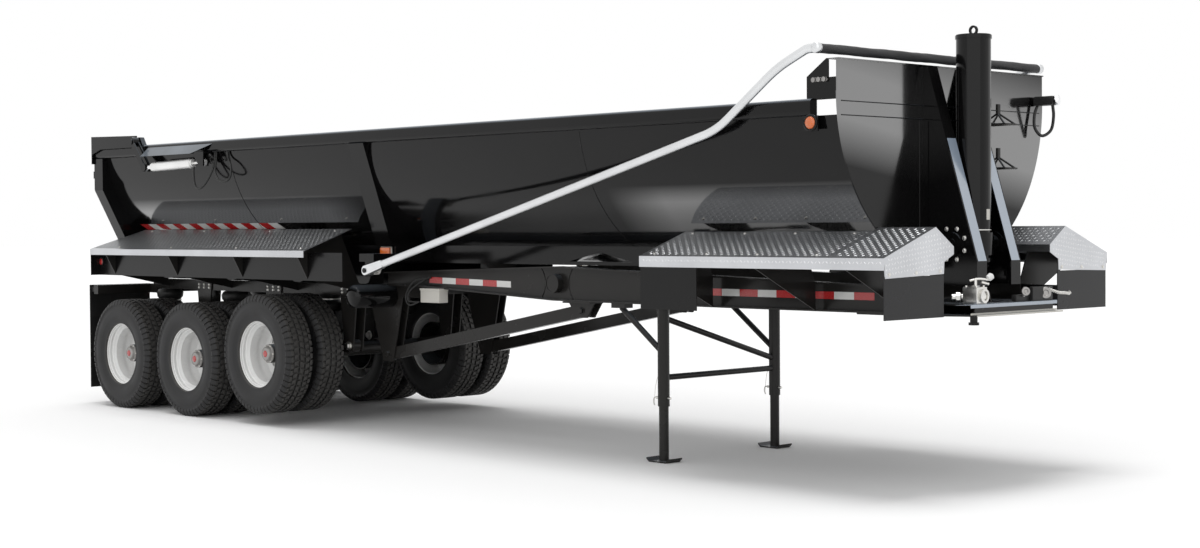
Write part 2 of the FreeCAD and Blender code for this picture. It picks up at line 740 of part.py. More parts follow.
def clevis_block():
    """The lugs under a rail that hold a draft arm's front eye."""
    low = ARM_FRONT_Z - ARM_EYE_R
    top = under_rail(ARM_FRONT_X, 150.0)
    inner = SILL_Y - SILL_W / 2
    outer = RAIL_Y + RAIL_FLANGE_W / 2
    cheeks = [rod((ARM_FRONT_X, inner, ARM_FRONT_Z),
                  (ARM_FRONT_X, SILL_Y + SILL_W / 2, ARM_FRONT_Z), ARM_PIN_R)]
    for y in (inner, SILL_Y + SILL_W / 2 - CLEVIS_T):
        cheeks.append(prism_xz(((ARM_FRONT_X - 150, top), (ARM_FRONT_X + 150, top),
                                (ARM_FRONT_X + 60, low), (ARM_FRONT_X - 60, low)),
                               y, y + CLEVIS_T))
    pad = box(ARM_FRONT_X - 150, ARM_FRONT_X + 150, inner, outer, top - CLEVIS_T, top)
    return joined(cheeks + [pad])


def make_legs():
    """Landing legs: sleeves with their braces, and the sliding inner legs."""
    pad = LEG_TOP_PLATE / 2
    plate_top = under_rail(LEG_X, pad)
    plate_low = plate_top - LEG_TOP_PLATE_T
    strut_top = under_rail(STRUT_RAIL_X, 70.0)
    plate = box(LEG_X - pad, LEG_X + pad, LEG_Y - pad, LEG_Y + pad, plate_low, plate_top)
    shell = rod((LEG_X, LEG_Y, SLEEVE_FOOT_Z), (LEG_X, LEG_Y, plate_low + 1), SLEEVE_R)
    bore = rod((LEG_X, LEG_Y, SLEEVE_FOOT_Z), (LEG_X, LEG_Y, plate_low), SLEEVE_BORE_R)
    strut = rod((LEG_X, RAIL_Y, STRUT_LEG_Z), (STRUT_RAIL_X, RAIL_Y, strut_top - 35), BRACE_R)
    strut_pad = box(STRUT_RAIL_X - 70, STRUT_RAIL_X + 70, RAIL_Y - 45, RAIL_Y + 45,
                    strut_top - 35, strut_top)
    sleeve = joined([plate, shell, strut, strut_pad]).cut(bore)
    far = LEG_Y - SLEEVE_R - FIT
    level = rod((LEG_X, -far, BRACE_Z), (LEG_X, LEG_Y, BRACE_Z), BRACE_R)
    slant = rod((LEG_X, -far, DIAGONAL_LOW_Z), (LEG_X, LEG_Y, DIAGONAL_HIGH_Z), BRACE_R)
    keep_clear = rod((LEG_X, -LEG_Y, 0), (LEG_X, -LEG_Y, plate_low), SLEEVE_R + FIT)
    left = joined([sleeve, level.cut(keep_clear)]).cut(bore)
    right = mirrored(joined([sleeve, slant.cut(keep_clear)]).cut(bore))
    save("leg_frames", Part.makeCompound([left, right]))

    leg_top = plate_low - LEG_LIFT - RUNNING_GAP
    guide = rod((LEG_X, LEG_Y, leg_top - GUIDE_H), (LEG_X, LEG_Y, leg_top),
                SLEEVE_BORE_R - FIT)
    inner = rod((LEG_X, LEG_Y, FOOT_T / 2), (LEG_X, LEG_Y, leg_top), LEG_TUBE_R)
    flat = FOOT_L / 2 - 25
    tip = FOOT_L / 2
    sole = ((-tip, FOOT_TURN_UP), (-flat, 0), (flat, 0), (tip, FOOT_TURN_UP),
            (tip, FOOT_TURN_UP + FOOT_T), (flat, FOOT_T), (-flat, FOOT_T),
            (-tip, FOOT_TURN_UP + FOOT_T))
    sole = [(LEG_X + x, z) for x, z in sole]
    foot = prism_xz(sole, LEG_Y - FOOT_W / 2, LEG_Y + FOOT_W / 2)
    save_pair("leg", joined([inner, guide, foot]))


def front_deck_underside():
    """Ends of the front deck's underside, as (y, z), at the ridge and the lip."""
    return ((RIDGE_Y, RIDGE_Z - DECK_T - 1), (FRONT_DECK_Y - DECK_T, FRONT_DECK_Z - DECK_T))


def make_front_decks():
    """Folded tread-plate decks beside the front of the tub."""
    lip = FRONT_DECK_Z - FRONT_DECK_LIP
    fall = (RIDGE_Z - FRONT_DECK_Z) / (FRONT_DECK_Y - RIDGE_Y)
    tub_z = FRONT_DECK_Z + fall * (FRONT_DECK_Y - FRONT_DECK_TUB_Y)
    ridge_under, lip_under = front_deck_underside()
    tub_under = on_line(ridge_under, lip_under, FRONT_DECK_TUB_Y)
    side = ((FRONT_DECK_Y, lip), (FRONT_DECK_Y, FRONT_DECK_Z), (FRONT_DECK_TUB_Y, tub_z),
            (FRONT_DECK_TUB_Y, tub_under), lip_under, (FRONT_DECK_Y - DECK_T, lip))
    nose = ((FRONT_DECK_Y, lip), (FRONT_DECK_Y, FRONT_DECK_Z), (RIDGE_Y, RIDGE_Z),
            (INNER_SLOPE_Y, INNER_SLOPE_Z), (INNER_SLOPE_Y, INNER_SLOPE_Z - INNER_LIP),
            (INNER_SLOPE_Y + DECK_T, INNER_SLOPE_Z - INNER_LIP),
            (INNER_SLOPE_Y + DECK_T, INNER_SLOPE_Z - DECK_T), ridge_under,
            lip_under, (FRONT_DECK_Y - DECK_T, lip))
    nose_x = BULKHEAD_X + BULKHEAD_T + RUNNING_GAP
    face = ((FRONT_DECK_Y - 2, FRONT_DECK_Z - 2), (RIDGE_Y, RIDGE_Z - 2),
            (INNER_SLOPE_Y + 1, INNER_SLOPE_Z - 2), (INNER_SLOPE_Y + 1, INNER_SLOPE_Z - INNER_LIP),
            (655.0, 1493.0), (660.0, FRONT_PANEL_TOP_Z + 17), (FRONT_DECK_Y - 15, FRONT_PANEL_TOP_Z))
    deck = joined([prism_yz(side, FRONT_DECK_REAR_X, nose_x + 1),
                   prism_yz(nose, nose_x, FRONT_DECK_NOSE_X),
                   prism_yz(face, FRONT_DECK_NOSE_X - DECK_T, FRONT_DECK_NOSE_X)])
    save_pair("front_deck", deck)


def make_rear_decks():
    """Folded tread-plate decks over the wheels, with skewed ends."""
    lip = REAR_DECK_Z - REAR_DECK_LIP
    section = ((REAR_DECK_Y, lip), (REAR_DECK_Y, REAR_DECK_Z),
               (REAR_DECK_INNER_Y, REAR_DECK_INNER_Z),
               (REAR_DECK_INNER_Y, REAR_DECK_INNER_Z - DECK_T),
               (REAR_DECK_Y - DECK_T, REAR_DECK_Z - DECK_T), (REAR_DECK_Y - DECK_T, lip))
    front = REAR_DECK_FRONT_X + REAR_DECK_FRONT_SKEW
    plan = ((REAR_DECK_REAR_X, REAR_DECK_Y + 1), (REAR_DECK_FRONT_X, REAR_DECK_Y + 1),
            (front, REAR_DECK_INNER_Y - 1),
            (REAR_DECK_REAR_X + REAR_DECK_REAR_SKEW, REAR_DECK_INNER_Y - 1))
    deck = prism_yz(section, REAR_DECK_REAR_X, front)
    deck = deck.common(prism_xy(plan, lip - 1, REAR_DECK_INNER_Z + 1))
    save_pair("rear_deck", deck)


def outrigger_outlines():
    """Outlines of the front and rear outriggers, as functions of the station."""
    rail_side = RAIL_Y + RAIL_FLANGE_W / 2 + FIT
    sill_side = SILL_Y + SILL_W / 2
    ridge_under, lip_under = front_deck_underside()
    deck_y = FRONT_DECK_TUB_Y + 4
    reach = FRONT_DECK_Y - DECK_T - FIT - PANEL_T

    def front(x):
        return ((rail_side, rail_edge(x, 1) + 5), (rail_side, rail_edge(x + OUTRIGGER_T, 2) - 2),
                (deck_y, on_line(ridge_under, lip_under, deck_y) - FIT),
                (reach, on_line(ridge_under, lip_under, reach) - FIT),
                (reach, FRONT_DECK_Z - FRONT_DECK_LIP))

    inner_under = (REAR_DECK_INNER_Y, REAR_DECK_INNER_Z - DECK_T)
    outer_under = (REAR_DECK_Y - DECK_T, REAR_DECK_Z - DECK_T)
    rear_y = REAR_DECK_INNER_Y + 4
    rear_reach = REAR_DECK_Y - DECK_T - FIT

    def rear(x):
        return ((sill_side, SILL_TOP_Z - 70), (sill_side, SILL_TOP_Z - 2),
                (sill_side + 55, SILL_TOP_Z + 15),
                (rear_y, on_line(inner_under, outer_under, rear_y) - FIT),
                (rear_reach, on_line(inner_under, outer_under, rear_reach) - FIT),
                (rear_reach, REAR_DECK_Z - REAR_DECK_LIP), (SKIRT_Y, SKIRT_LOW_Z + 12))

    return front, rear


def skirt_box():
    """The long dark panel under a rear deck's edge."""
    return box(REAR_DECK_REAR_X, SKIRT_FRONT_X, SKIRT_Y - PANEL_T, SKIRT_Y, SKIRT_LOW_Z,
               REAR_DECK_Z - REAR_DECK_LIP + 40)


def make_deck_outriggers():
    """Plates that stand out from the rails and sills and carry the decks."""
    front, rear = outrigger_outlines()
    left = [prism_yz(front(x), x, x + OUTRIGGER_T) for x in FRONT_OUTRIGGERS]
    skirt = skirt_box()
    left += [prism_yz(rear(x), x, x + OUTRIGGER_T).cut(skirt) for x in REAR_OUTRIGGERS]
    save("deck_outriggers", Part.makeCompound(left + [mirrored(one) for one in left]))


def make_deck_panels():
    """Black panels that close the decks' ends and edges."""
    rail_side = RAIL_Y + RAIL_FLANGE_W / 2 + FIT
    reach = FRONT_DECK_Y - DECK_T - FIT
    top = FRONT_DECK_Z - DECK_T - 7
    panel_x = FRONT_DECK_NOSE_X - DECK_T - PANEL_T
    web_x = FRONT_OUTRIGGERS[-1] + OUTRIGGER_T
    web = box(web_x, panel_x + 1, rail_side, rail_side + PANEL_T, FRONT_PANEL_Z + 28,
              FRONT_PANEL_Z + 170)
    nose = box(panel_x, panel_x + PANEL_T, rail_side, FRONT_DECK_Y - 10, FRONT_PANEL_Z,
               FRONT_PANEL_TOP_Z + 10)
    strip = box(FRONT_OUTRIGGERS[0], FRONT_DECK_NOSE_X - 20, reach - PANEL_T, reach,
                FRONT_DECK_Z - FRONT_DECK_LIP + 15, top)
    flap = box(FRONT_DECK_REAR_X + 7, FLAP_FRONT_X, reach - PANEL_T, reach, FLAP_LOW_Z, top)
    rear_reach = REAR_DECK_Y - DECK_T - FIT
    end = box(REAR_DECK_REAR_X, REAR_DECK_REAR_X + PANEL_T, SKIRT_Y - 60, rear_reach,
              SKIRT_LOW_Z, REAR_DECK_Z - 14)
    save_pair("deck_panels", Part.makeCompound([joined([web, nose]), joined([strip, flap]),
                                                joined([skirt_box(), end])]))


def make_mud_flaps():
    """Rubber flaps behind the rear wheels."""
    flap = box(FLAP_REAR_X, FLAP_REAR_X + MUD_FLAP_T, MUD_FLAP_INNER_Y, MUD_FLAP_OUTER_Y,
               MUD_FLAP_LOW_Z, TAIL_BEAM_Z + TAIL_BEAM_H)
    hung = FLAP_REAR_X + MUD_FLAP_T
    rail = box(hung, TAIL_BEAM_X, MUD_FLAP_INNER_Y + 20, MUD_FLAP_OUTER_Y - 20,
               TAIL_BEAM_Z + 20, TAIL_BEAM_Z + 70)
    one = joined([flap, rail])
    save("mud_flaps", Part.makeCompound([one, mirrored(one)]))


def make_shell():
    """The rolled half-round shell, in three courses that meet at butt seams."""
    ends = (TUB_REAR_X,) + SHELL_SEAMS + (BULKHEAD_X,)
    for name, x0, x1 in zip(("rear", "middle", "front"), ends, ends[1:]):
        course = tub_core(x0, x1, TUB_R).cut(tub_core(x0, x1, TUB_R - TUB_WALL))
        above = box(x0, x1, -TUB_R - 1, TUB_R + 1, TOP_RAIL_LOW_Z, TUB_AXIS_Z + TUB_R + 1)
        save("tub_shell_" + name, course.cut(above))


def make_bulkhead():
    """Front wall of the tub, with its raised upper part and stiffeners."""
    x1 = BULKHEAD_X + BULKHEAD_T
    round_part = tub_core(BULKHEAD_X, x1, TUB_R)
    round_part = round_part.cut(box(BULKHEAD_X, x1, -TUB_R - 1, TUB_R + 1,
                                    TUB_AXIS_Z, TUB_AXIS_Z + TUB_R + 1))
    upper = box(BULKHEAD_X, x1, -BULKHEAD_HALF_W, BULKHEAD_HALF_W, TUB_AXIS_Z - 40,
                BULKHEAD_TOP_Z)
    cap = box(BULKHEAD_X - 60, x1 + 12, -BULKHEAD_HALF_W, BULKHEAD_HALF_W,
              BULKHEAD_TOP_Z - 8, BULKHEAD_TOP_Z)
    save("bulkhead", joined([round_part, upper, cap]))


def make_bulkhead_steps():
    """Two steps on the front wall, each a tread between triangular cheeks."""
    x0 = BULKHEAD_X + BULKHEAD_T
    steps = []
    for top in STEP_TOPS:
        tread = box(x0, x0 + STEP_OUT, STEP_Y - STEP_W / 2, STEP_Y + STEP_W / 2,
                    top - STEP_T, top)
        pieces = [tread]
        for y in (STEP_Y - STEP_W / 2, STEP_Y + STEP_W / 2 - STEP_T):
            pieces.append(prism_xz(((x0, top), (x0 + STEP_OUT, top), (x0, top - STEP_H)),
                                   y, y + STEP_T))
        steps.append(joined(pieces))
    save("bulkhead_steps", Part.makeCompound(steps))


def hose(points, radius):
    """A round hose along straight runs joined by tangent arcs."""
    corners = [Vector(*point) for point in points]
    edges = []
    start = corners[0]
    for before, corner, after in zip(corners, corners[1:], corners[2:]):
        back = (before - corner).normalize()
        ahead = (after - corner).normalize()
        half_turn = (math.pi - back.getAngle(ahead)) / 2
        trim = 0.45 * min((before - corner).Length, (after - corner).Length)
        bend = trim / math.tan(half_turn)
        middle = corner + (back + ahead).normalize() * (bend / math.cos(half_turn) - bend)
        first = corner + back * trim
        last = corner + ahead * trim
        edges.append(Part.LineSegment(start, first).toShape())
        edges.append(Part.Arc(first, middle, last).toShape())
        start = last
    edges.append(Part.LineSegment(start, corners[-1]).toShape())
    ring = Part.Wire(Part.makeCircle(radius, corners[0], corners[1] - corners[0]))
    return Part.Wire(edges).makePipeShell([ring], True, False)


def make_gate_hoses():
    """Hoses that loop down from the gate cylinders to fittings under the top rails."""
    hoses = [hose(route, GATE_HOSE_R) for route in GATE_HOSE_ROUTES]
    save("gate_hoses", Part.makeCompound(hoses + [mirrored(one) for one in hoses]))


def make_tail_frame():
    """Box frame round the tub's rear mouth, with the two hinge lugs."""
    right = [(-y, z) for y, z in TAIL_OUTLINE]
    left = list(reversed(TAIL_OUTLINE))
    outline = ([(-TAIL_OUTLINE[0][0], TOP_RAIL_LOW_Z)] + right + left
               + [(TAIL_OUTLINE[0][0], TOP_RAIL_LOW_Z)])
    front = TUB_REAR_X + TAIL_FRAME_L
    ring = prism_yz(outline, TUB_REAR_X, front)
    ring = ring.cut(tub_core(TUB_REAR_X, front, TUB_R + FIT))
    low = TAIL_OUTLINE[-1][1]
    pieces = [ring]
    for side in (-1, 1):
        y0 = side * SILL_Y - HINGE_LUG_T / 2
        y1 = y0 + HINGE_LUG_T
        pieces.append(prism_xz(((HINGE_X - 70, low + 5), (front - 20, low + 5),
                                (HINGE_X + 60, HINGE_Z), (HINGE_X - 60, HINGE_Z)), y0, y1))
        pieces.append(rod((HINGE_X, y0, HINGE_Z), (HINGE_X, y1, HINGE_Z), HINGE_EYE_R - 5))
    frame = joined(pieces)
    bore = rod((HINGE_X, -TUB_R, HINGE_Z), (HINGE_X, TUB_R, HINGE_Z), HINGE_PIN_R + FIT)
    save("tail_frame", frame.cut(bore))


def make_tub_sills():
    """Long sills under the tub, saddled to the shell, with the cross bolsters."""
    y0 = SILL_Y - SILL_W / 2
    y1 = SILL_Y + SILL_W / 2
    rear = SILL_REAR_X + RUNNING_GAP
    top = TUB_AXIS_Z - 900
    outline = ((rear, TUB_SILL_LOW_Z), (TUB_SILL_STEP_X, TUB_SILL_LOW_Z),
               (TUB_SILL_STEP_X, TUB_SILL_HIGH_Z), (BULKHEAD_X, TUB_SILL_HIGH_Z),
               (BULKHEAD_X, top), (rear, top))
    core = tub_core(rear - 1, BULKHEAD_X + 1, TUB_R + FIT)
    left = prism_xz(outline, y0, y1).cut(core)
    for x0, x1, peak, base in SILL_WINDOWS:
        left = left.cut(prism_xz(((x0, base), (x1, base), ((x0 + x1) / 2, peak)), y0, y1))
    save("tub_sills", Part.makeCompound([left, mirrored(left)]))


def top_rail_section():
    """Outline of the top rail with its rounded outer corners."""
    r = TOP_RAIL_ROUND
    y0 = TOP_RAIL_INNER_Y
    y1 = TOP_RAIL_OUTER_Y
    z0 = TOP_RAIL_LOW_Z
    z1 = TOP_RAIL_TOP_Z
    bend = r * (1 - math.sqrt(0.5))
    x = TUB_REAR_X

    def at(y, z):
        return Vector(x, y, z)

    edges = [
        Part.LineSegment(at(y0, z0), at(y1 - r, z0)),
        Part.Arc(at(y1 - r, z0), at(y1 - bend, z0 + bend), at(y1, z0 + r)),
        Part.LineSegment(at(y1, z0 + r), at(y1, z1 - r)),
        Part.Arc(at(y1, z1 - r), at(y1 - bend, z1 - bend), at(y1 - r, z1)),
        Part.LineSegment(at(y1 - r, z1), at(y0, z1)),
        Part.LineSegment(at(y0, z1), at(y0, z0)),
    ]
    return Part.Face(Part.Wire([edge.toShape() for edge in edges]))


def make_side_frames():
    """Top rail with its front gusset, mid post, gate bearing, hood and lugs."""
    rail = top_rail_section().extrude(Vector(TOP_RAIL_FRONT_X - TUB_REAR_X, 0, 0))
    gusset_y = BULKHEAD_HALF_W - GUSSET_T
    gusset = prism_xz(((GUSSET_REAR_X, TOP_RAIL_TOP_Z), (BULKHEAD_X - 62, TOP_RAIL_TOP_Z),
                       (BULKHEAD_X - 62, BULKHEAD_TOP_Z), (BULKHEAD_X - 80, BULKHEAD_TOP_Z),
                       (GUSSET_REAR_X, BULKHEAD_TOP_Z - 110)),
                      gusset_y, gusset_y + GUSSET_T)
    filler = box(GUSSET_REAR_X, BULKHEAD_X - FIT, gusset_y, gusset_y + GUSSET_T,
                 TOP_RAIL_TOP_Z - 10, BULKHEAD_TOP_Z - 120)
    core = tub_core(POST_X - POST_W, POST_X + POST_W, TUB_R + FIT)
    post = prism_yz(((1090.0, TOP_RAIL_LOW_Z), (TOP_RAIL_OUTER_Y, TOP_RAIL_LOW_Z),
                     (TOP_RAIL_OUTER_Y, TOP_RAIL_LOW_Z + 30), (1090.0, TOP_RAIL_LOW_Z + 30)),
                    POST_X - POST_W / 2, POST_X + POST_W / 2)
    leg = prism_yz(((1100.0, TOP_RAIL_LOW_Z), (TOP_RAIL_OUTER_Y, TOP_RAIL_LOW_Z),
                    (POST_FOOT_Y, POST_FOOT_Z), (SILL_Y + SILL_W / 2 + FIT, POST_FOOT_Z)),
                   POST_X - POST_W / 2, POST_X + POST_W / 2).cut(core)
    post = post.common(rail)
    half = POST_W / 2
    flare = prism_xz(((POST_X - half, TOP_RAIL_LOW_Z - 100), (POST_X + half, TOP_RAIL_LOW_Z - 100),
                      (POST_X + POST_TOP_W / 2, TOP_RAIL_LOW_Z),
                      (POST_X - POST_TOP_W / 2, TOP_RAIL_LOW_Z)), 1152.0, 1160.0).cut(core)
    bearing = prism_xz(((GATE_PIN_X - 90, TOP_RAIL_TOP_Z), (GATE_PIN_X + 90, TOP_RAIL_TOP_Z),
                        (GATE_PIN_X + 40, GATE_PIN_Z + 45), (GATE_PIN_X - 40, GATE_PIN_Z + 45)),
                       TOP_RAIL_OUTER_Y - 45, TOP_RAIL_OUTER_Y)
    outer = CYLINDER_Y + CRANK_GAP / 2 + CRANK_OUTER_T
    pin = rod((GATE_PIN_X, TOP_RAIL_OUTER_Y - 45, GATE_PIN_Z), (GATE_PIN_X, outer + 8, GATE_PIN_Z),
              GATE_PIN_R)
    hood = prism_yz(((TOP_RAIL_OUTER_Y, TOP_RAIL_TOP_Z - 32),
                     (TOP_RAIL_OUTER_Y + HOOD_OUT, HOOD_LOW_Z),
                     (TOP_RAIL_OUTER_Y + HOOD_OUT - HOOD_T, HOOD_LOW_Z),
                     (TOP_RAIL_OUTER_Y - 1, TOP_RAIL_TOP_Z - 40)), HOOD_REAR_X, HOOD_FRONT_X)
    hood = hood.cut(prism_xz(((HOOD_LOW_FRONT_X, HOOD_LOW_Z - 10),
                              (HOOD_FRONT_X, TOP_RAIL_TOP_Z - 28),
                              (HOOD_FRONT_X + 10, TOP_RAIL_TOP_Z - 28),
                              (HOOD_FRONT_X + 10, HOOD_LOW_Z - 10)),
                             TOP_RAIL_OUTER_Y, TOP_RAIL_OUTER_Y + HOOD_OUT + 10))
    lug = lug_plates()
    pivot = bow_outrigger()
    save_pair("side_frame", joined([rail, gusset, filler, post, leg, flare, bearing, pin, hood,
                                    lug, pivot]))


def lug_plates():
    """Fork under the top rail that holds a gate cylinder's front pin."""
    x = CYLINDER_PIVOT_X
    z = CYLINDER_PIVOT_Z
    gap = 16.0
    arm = box(x - 145, x + 36, TOP_RAIL_OUTER_Y - 30, CYLINDER_Y + gap + 14,
              TOP_RAIL_LOW_Z - 12, TOP_RAIL_LOW_Z + 6)
    pieces = [arm]
    for y in (CYLINDER_Y - gap - 14, CYLINDER_Y + gap):
        pieces.append(prism_xz(((x - 145, TOP_RAIL_LOW_Z - 6), (x + 36, TOP_RAIL_LOW_Z - 6),
                                (x + 30, z - 34), (x - 40, z - 34)), y, y + 14))
    pieces.append(rod((x, CYLINDER_Y - gap - 1, z), (x, CYLINDER_Y + gap + 1, z), 18.0))
    return joined(pieces)


def bow_outrigger():
    """Arm from the tub's sill out to the pivot of the tarp bow."""
    x, z = BOW_PIVOT
    inner = SILL_Y + SILL_W / 2 + FIT
    outer = BOW_Y - BOW_TUBE_W / 2 - RUNNING_GAP
    foot_x = POST_X + POST_W / 2
    beam = box(foot_x - 30, x + 60, inner, outer, POST_FOOT_Z - 120, POST_FOOT_Z - 55)
    tie = box(foot_x - 30, foot_x, inner, POST_FOOT_Y - 40, POST_FOOT_Z - 60, POST_FOOT_Z + 5)
    plate = prism_xz(((x - 70, POST_FOOT_Z - 57), (x + 60, POST_FOOT_Z - 57), (x + 40, z - 40),
                      (x - 40, z - 40)), outer - 14, outer)
    pin = rod((x, outer - 14, z), (x, BOW_Y + BOW_TUBE_W / 2 + 8, z), BOW_PIN_R)
    return joined([beam, tie, plate, pin])


def make_doghouse():
    """Side plates with inward flanges that carry the hoist's trunnion."""
    inner = DOGHOUSE_Y - DOGHOUSE_T / 2
    outer = DOGHOUSE_Y + DOGHOUSE_T / 2
    back = BULKHEAD_X + BULKHEAD_T + FIT
    top = BULKHEAD_TOP_Z - 10
    outline = ((back, top), (DOGHOUSE_TOP_X, top), (DOGHOUSE_KNEE_X, DOGHOUSE_KNEE_Z),
               (DOGHOUSE_KNEE_X, DOGHOUSE_LOW_Z), (back + 120, DOGHOUSE_LOW_Z),
               (back, DOGHOUSE_LOW_Z + 100))
    plate = prism_xz(outline, inner, outer)
    flange_in = inner - DOGHOUSE_FLANGE
    slope = prism_xz(((DOGHOUSE_TOP_X - DOGHOUSE_T, top), (DOGHOUSE_TOP_X, top),
                      (DOGHOUSE_KNEE_X, DOGHOUSE_KNEE_Z),
                      (DOGHOUSE_KNEE_X - DOGHOUSE_T, DOGHOUSE_KNEE_Z)), flange_in, inner + 1)
    upright = box(DOGHOUSE_KNEE_X - DOGHOUSE_T, DOGHOUSE_KNEE_X, flange_in, inner + 1,
                  DOGHOUSE_LOW_Z, DOGHOUSE_KNEE_Z)
    boss = rod((HOIST_X, inner - 20, TRUNNION_Z), (HOIST_X, outer + 16, TRUNNION_Z),
               TRUNNION_BOSS_R)
    bore = rod((HOIST_X, inner - 20, TRUNNION_Z), (HOIST_X, outer + 16, TRUNNION_Z),
               TRUNNION_PIN_R + FIT)
    side = joined([plate, slope, upright, boss]).cut(bore)
    save("doghouse", Part.makeCompound([side, mirrored(side)]))


def make_hoist():
    """Barrel on its trunnion, and the five nested stages down to the cradle."""
    barrel = rod((HOIST_X, 0, BARREL_LOW_Z), (HOIST_X, 0, BARREL_TOP_Z), BARREL_R)
    collar = rod((HOIST_X, 0, TRUNNION_Z - COLLAR_H / 2), (HOIST_X, 0, TRUNNION_Z + COLLAR_H / 2),
                 COLLAR_R)
    pin_end = DOGHOUSE_Y + DOGHOUSE_T / 2 + 20
    pins = rod((HOIST_X, -pin_end, TRUNNION_Z), (HOIST_X, pin_end, TRUNNION_Z), TRUNNION_PIN_R)
    shoulder = DOGHOUSE_Y - DOGHOUSE_T / 2 - 20 - RUNNING_GAP
    shoulders = rod((HOIST_X, -shoulder, TRUNNION_Z), (HOIST_X, shoulder, TRUNNION_Z),
                    TRUNNION_PIN_R + 18)
    ring = lifting_eye(HOIST_X, BARREL_TOP_Z + LIFT_EYE_R - 4)
    barrel = joined([barrel, collar, pins, shoulders, ring])
    gland_r = STAGES[0][0] + FIT
    bore = rod((HOIST_X, 0, BARREL_LOW_Z + GUIDE_H), (HOIST_X, 0, BARREL_TOP_Z - 12),
               BARREL_BORE_R)
    mouth = rod((HOIST_X, 0, BARREL_LOW_Z), (HOIST_X, 0, BARREL_LOW_Z + GUIDE_H), gland_r)
    save("hoist_barrel", barrel.cut([bore, mouth]))

    around = BARREL_BORE_R
    following = STAGES[1:] + (None,)
    for number, (stage, inner) in enumerate(zip(STAGES, following), 1):
        radius, bore_r, low = stage
        tube = rod((HOIST_X, 0, low), (HOIST_X, 0, NEST_TOP_Z), radius)
        guide = rod((HOIST_X, 0, NEST_TOP_Z - GUIDE_H), (HOIST_X, 0, NEST_TOP_Z), around - FIT)
        solid = joined([tube, guide])
        if inner:
            hollow = rod((HOIST_X, 0, low + GUIDE_H), (HOIST_X, 0, NEST_TOP_Z), bore_r)
            mouth = rod((HOIST_X, 0, low), (HOIST_X, 0, low + GUIDE_H), inner[0] + FIT)
            solid = solid.cut([hollow, mouth])
        else:
            solid = joined([solid, hoist_foot()])
        save("hoist_stage_%d" % number, solid)
        around = bore_r


def lifting_eye(x, z):
    """The flat ring on top of the hoist's barrel."""
    y = LIFT_EYE_T / 2
    disc = rod((x, -y, z), (x, y, z), LIFT_EYE_R)
    return disc.cut(rod((x, -y, z), (x, y, z), LIFT_EYE_BORE_R))


def hoist_foot():
    """Eye at the hoist's foot with the shaft that lies in the cradle."""
    eye = rod((HOIST_X, -HOIST_EYE_HALF_W, CRADLE_PIN_Z), (HOIST_X, HOIST_EYE_HALF_W, CRADLE_PIN_Z),
              HOIST_EYE_R)
    end = CRADLE_CHEEK_Y + CRADLE_CHEEK_T / 2 + 10
    shaft = rod((HOIST_X, -end, CRADLE_PIN_Z), (HOIST_X, end, CRADLE_PIN_Z), HOIST_SHAFT_R)
    return joined([eye, shaft])


def make_tailgate():
    """Tailgate plate with its ribs, side arms and the cranks ahead of the pins."""
    x1 = TUB_REAR_X - GATE_GAP
    x0 = x1 - GATE_T
    half = TAIL_OUTLINE[0][0] - 8
    lower = [(y - 8, z + 10) for y, z in TAIL_OUTLINE]
    outline = ([(-half, GATE_TOP_Z)] + [(-y, z) for y, z in lower]
               + list(reversed(lower)) + [(half, GATE_TOP_Z)])
    pieces = [prism_yz(outline, x0, x1)]
    rib = x0 - GATE_RIB
    for y in (-560.0, -30.0, 500.0):
        pieces.append(box(rib, x0, y, y + 60, 1440.0, GATE_TOP_Z - 60))
    for z, reach in ((1900.0, 1040.0), (2240.0, 1180.0), (GATE_TOP_Z - 70, half)):
        pieces.append(box(rib, x0, -reach, reach, z, z + 70))
    outer = CYLINDER_Y + CRANK_GAP / 2
    for side in (-1, 1):
        pieces.append(gate_arm(side, x0))
        spacer = rod((GATE_PIN_X, side * GATE_ARM_Y, GATE_PIN_Z),
                     (GATE_PIN_X, side * (outer + CRANK_OUTER_T), GATE_PIN_Z), 45.0)
        y0 = min(side * outer, side * (outer + CRANK_OUTER_T))
        crank = bar_xz((GATE_PIN_X, GATE_PIN_Z), (CRANK_EYE_X, CRANK_EYE_Z), 56.0,
                       y0, y0 + CRANK_OUTER_T)
        eye = rod((CRANK_EYE_X, y0, CRANK_EYE_Z), (CRANK_EYE_X, y0 + CRANK_OUTER_T, CRANK_EYE_Z),
                  CRANK_R)
        pieces += [spacer, crank, eye]
    bore = rod((GATE_PIN_X, -1400, GATE_PIN_Z), (GATE_PIN_X, 1400, GATE_PIN_Z), GATE_PIN_R + FIT)
    save("tailgate", joined(pieces).cut(bore))


def gate_arm(side, gate_x):
    """Side arm from the gate's upper corner to the pin, and on to the crank."""
    y0 = min(side * GATE_ARM_Y, side * (GATE_ARM_Y + GATE_ARM_T))
    y1 = y0 + GATE_ARM_T
    arm = prism_xz(((gate_x, 2470.0), (gate_x, 2650.0), (GATE_PIN_X, GATE_PIN_Z + 60),
                    (GATE_PIN_X, GATE_PIN_Z - 50), (TUB_REAR_X + TAIL_FRAME_L, 2520.0)), y0, y1)
    crank = bar_xz((GATE_PIN_X, GATE_PIN_Z), (CRANK_EYE_X, CRANK_EYE_Z), 70.0, y0, y1)
    eye = rod((CRANK_EYE_X, y0, CRANK_EYE_Z), (CRANK_EYE_X, y1, CRANK_EYE_Z), CRANK_R)
    cheek_a = side * (TAIL_OUTLINE[0][0] - 20)
    cheek_b = side * (GATE_ARM_Y + GATE_ARM_T)
    cheek = box(gate_x, gate_x + GATE_T, min(cheek_a, cheek_b), max(cheek_a, cheek_b),
                2380.0, GATE_TOP_Z)
    return joined([arm, crank, eye, cheek])


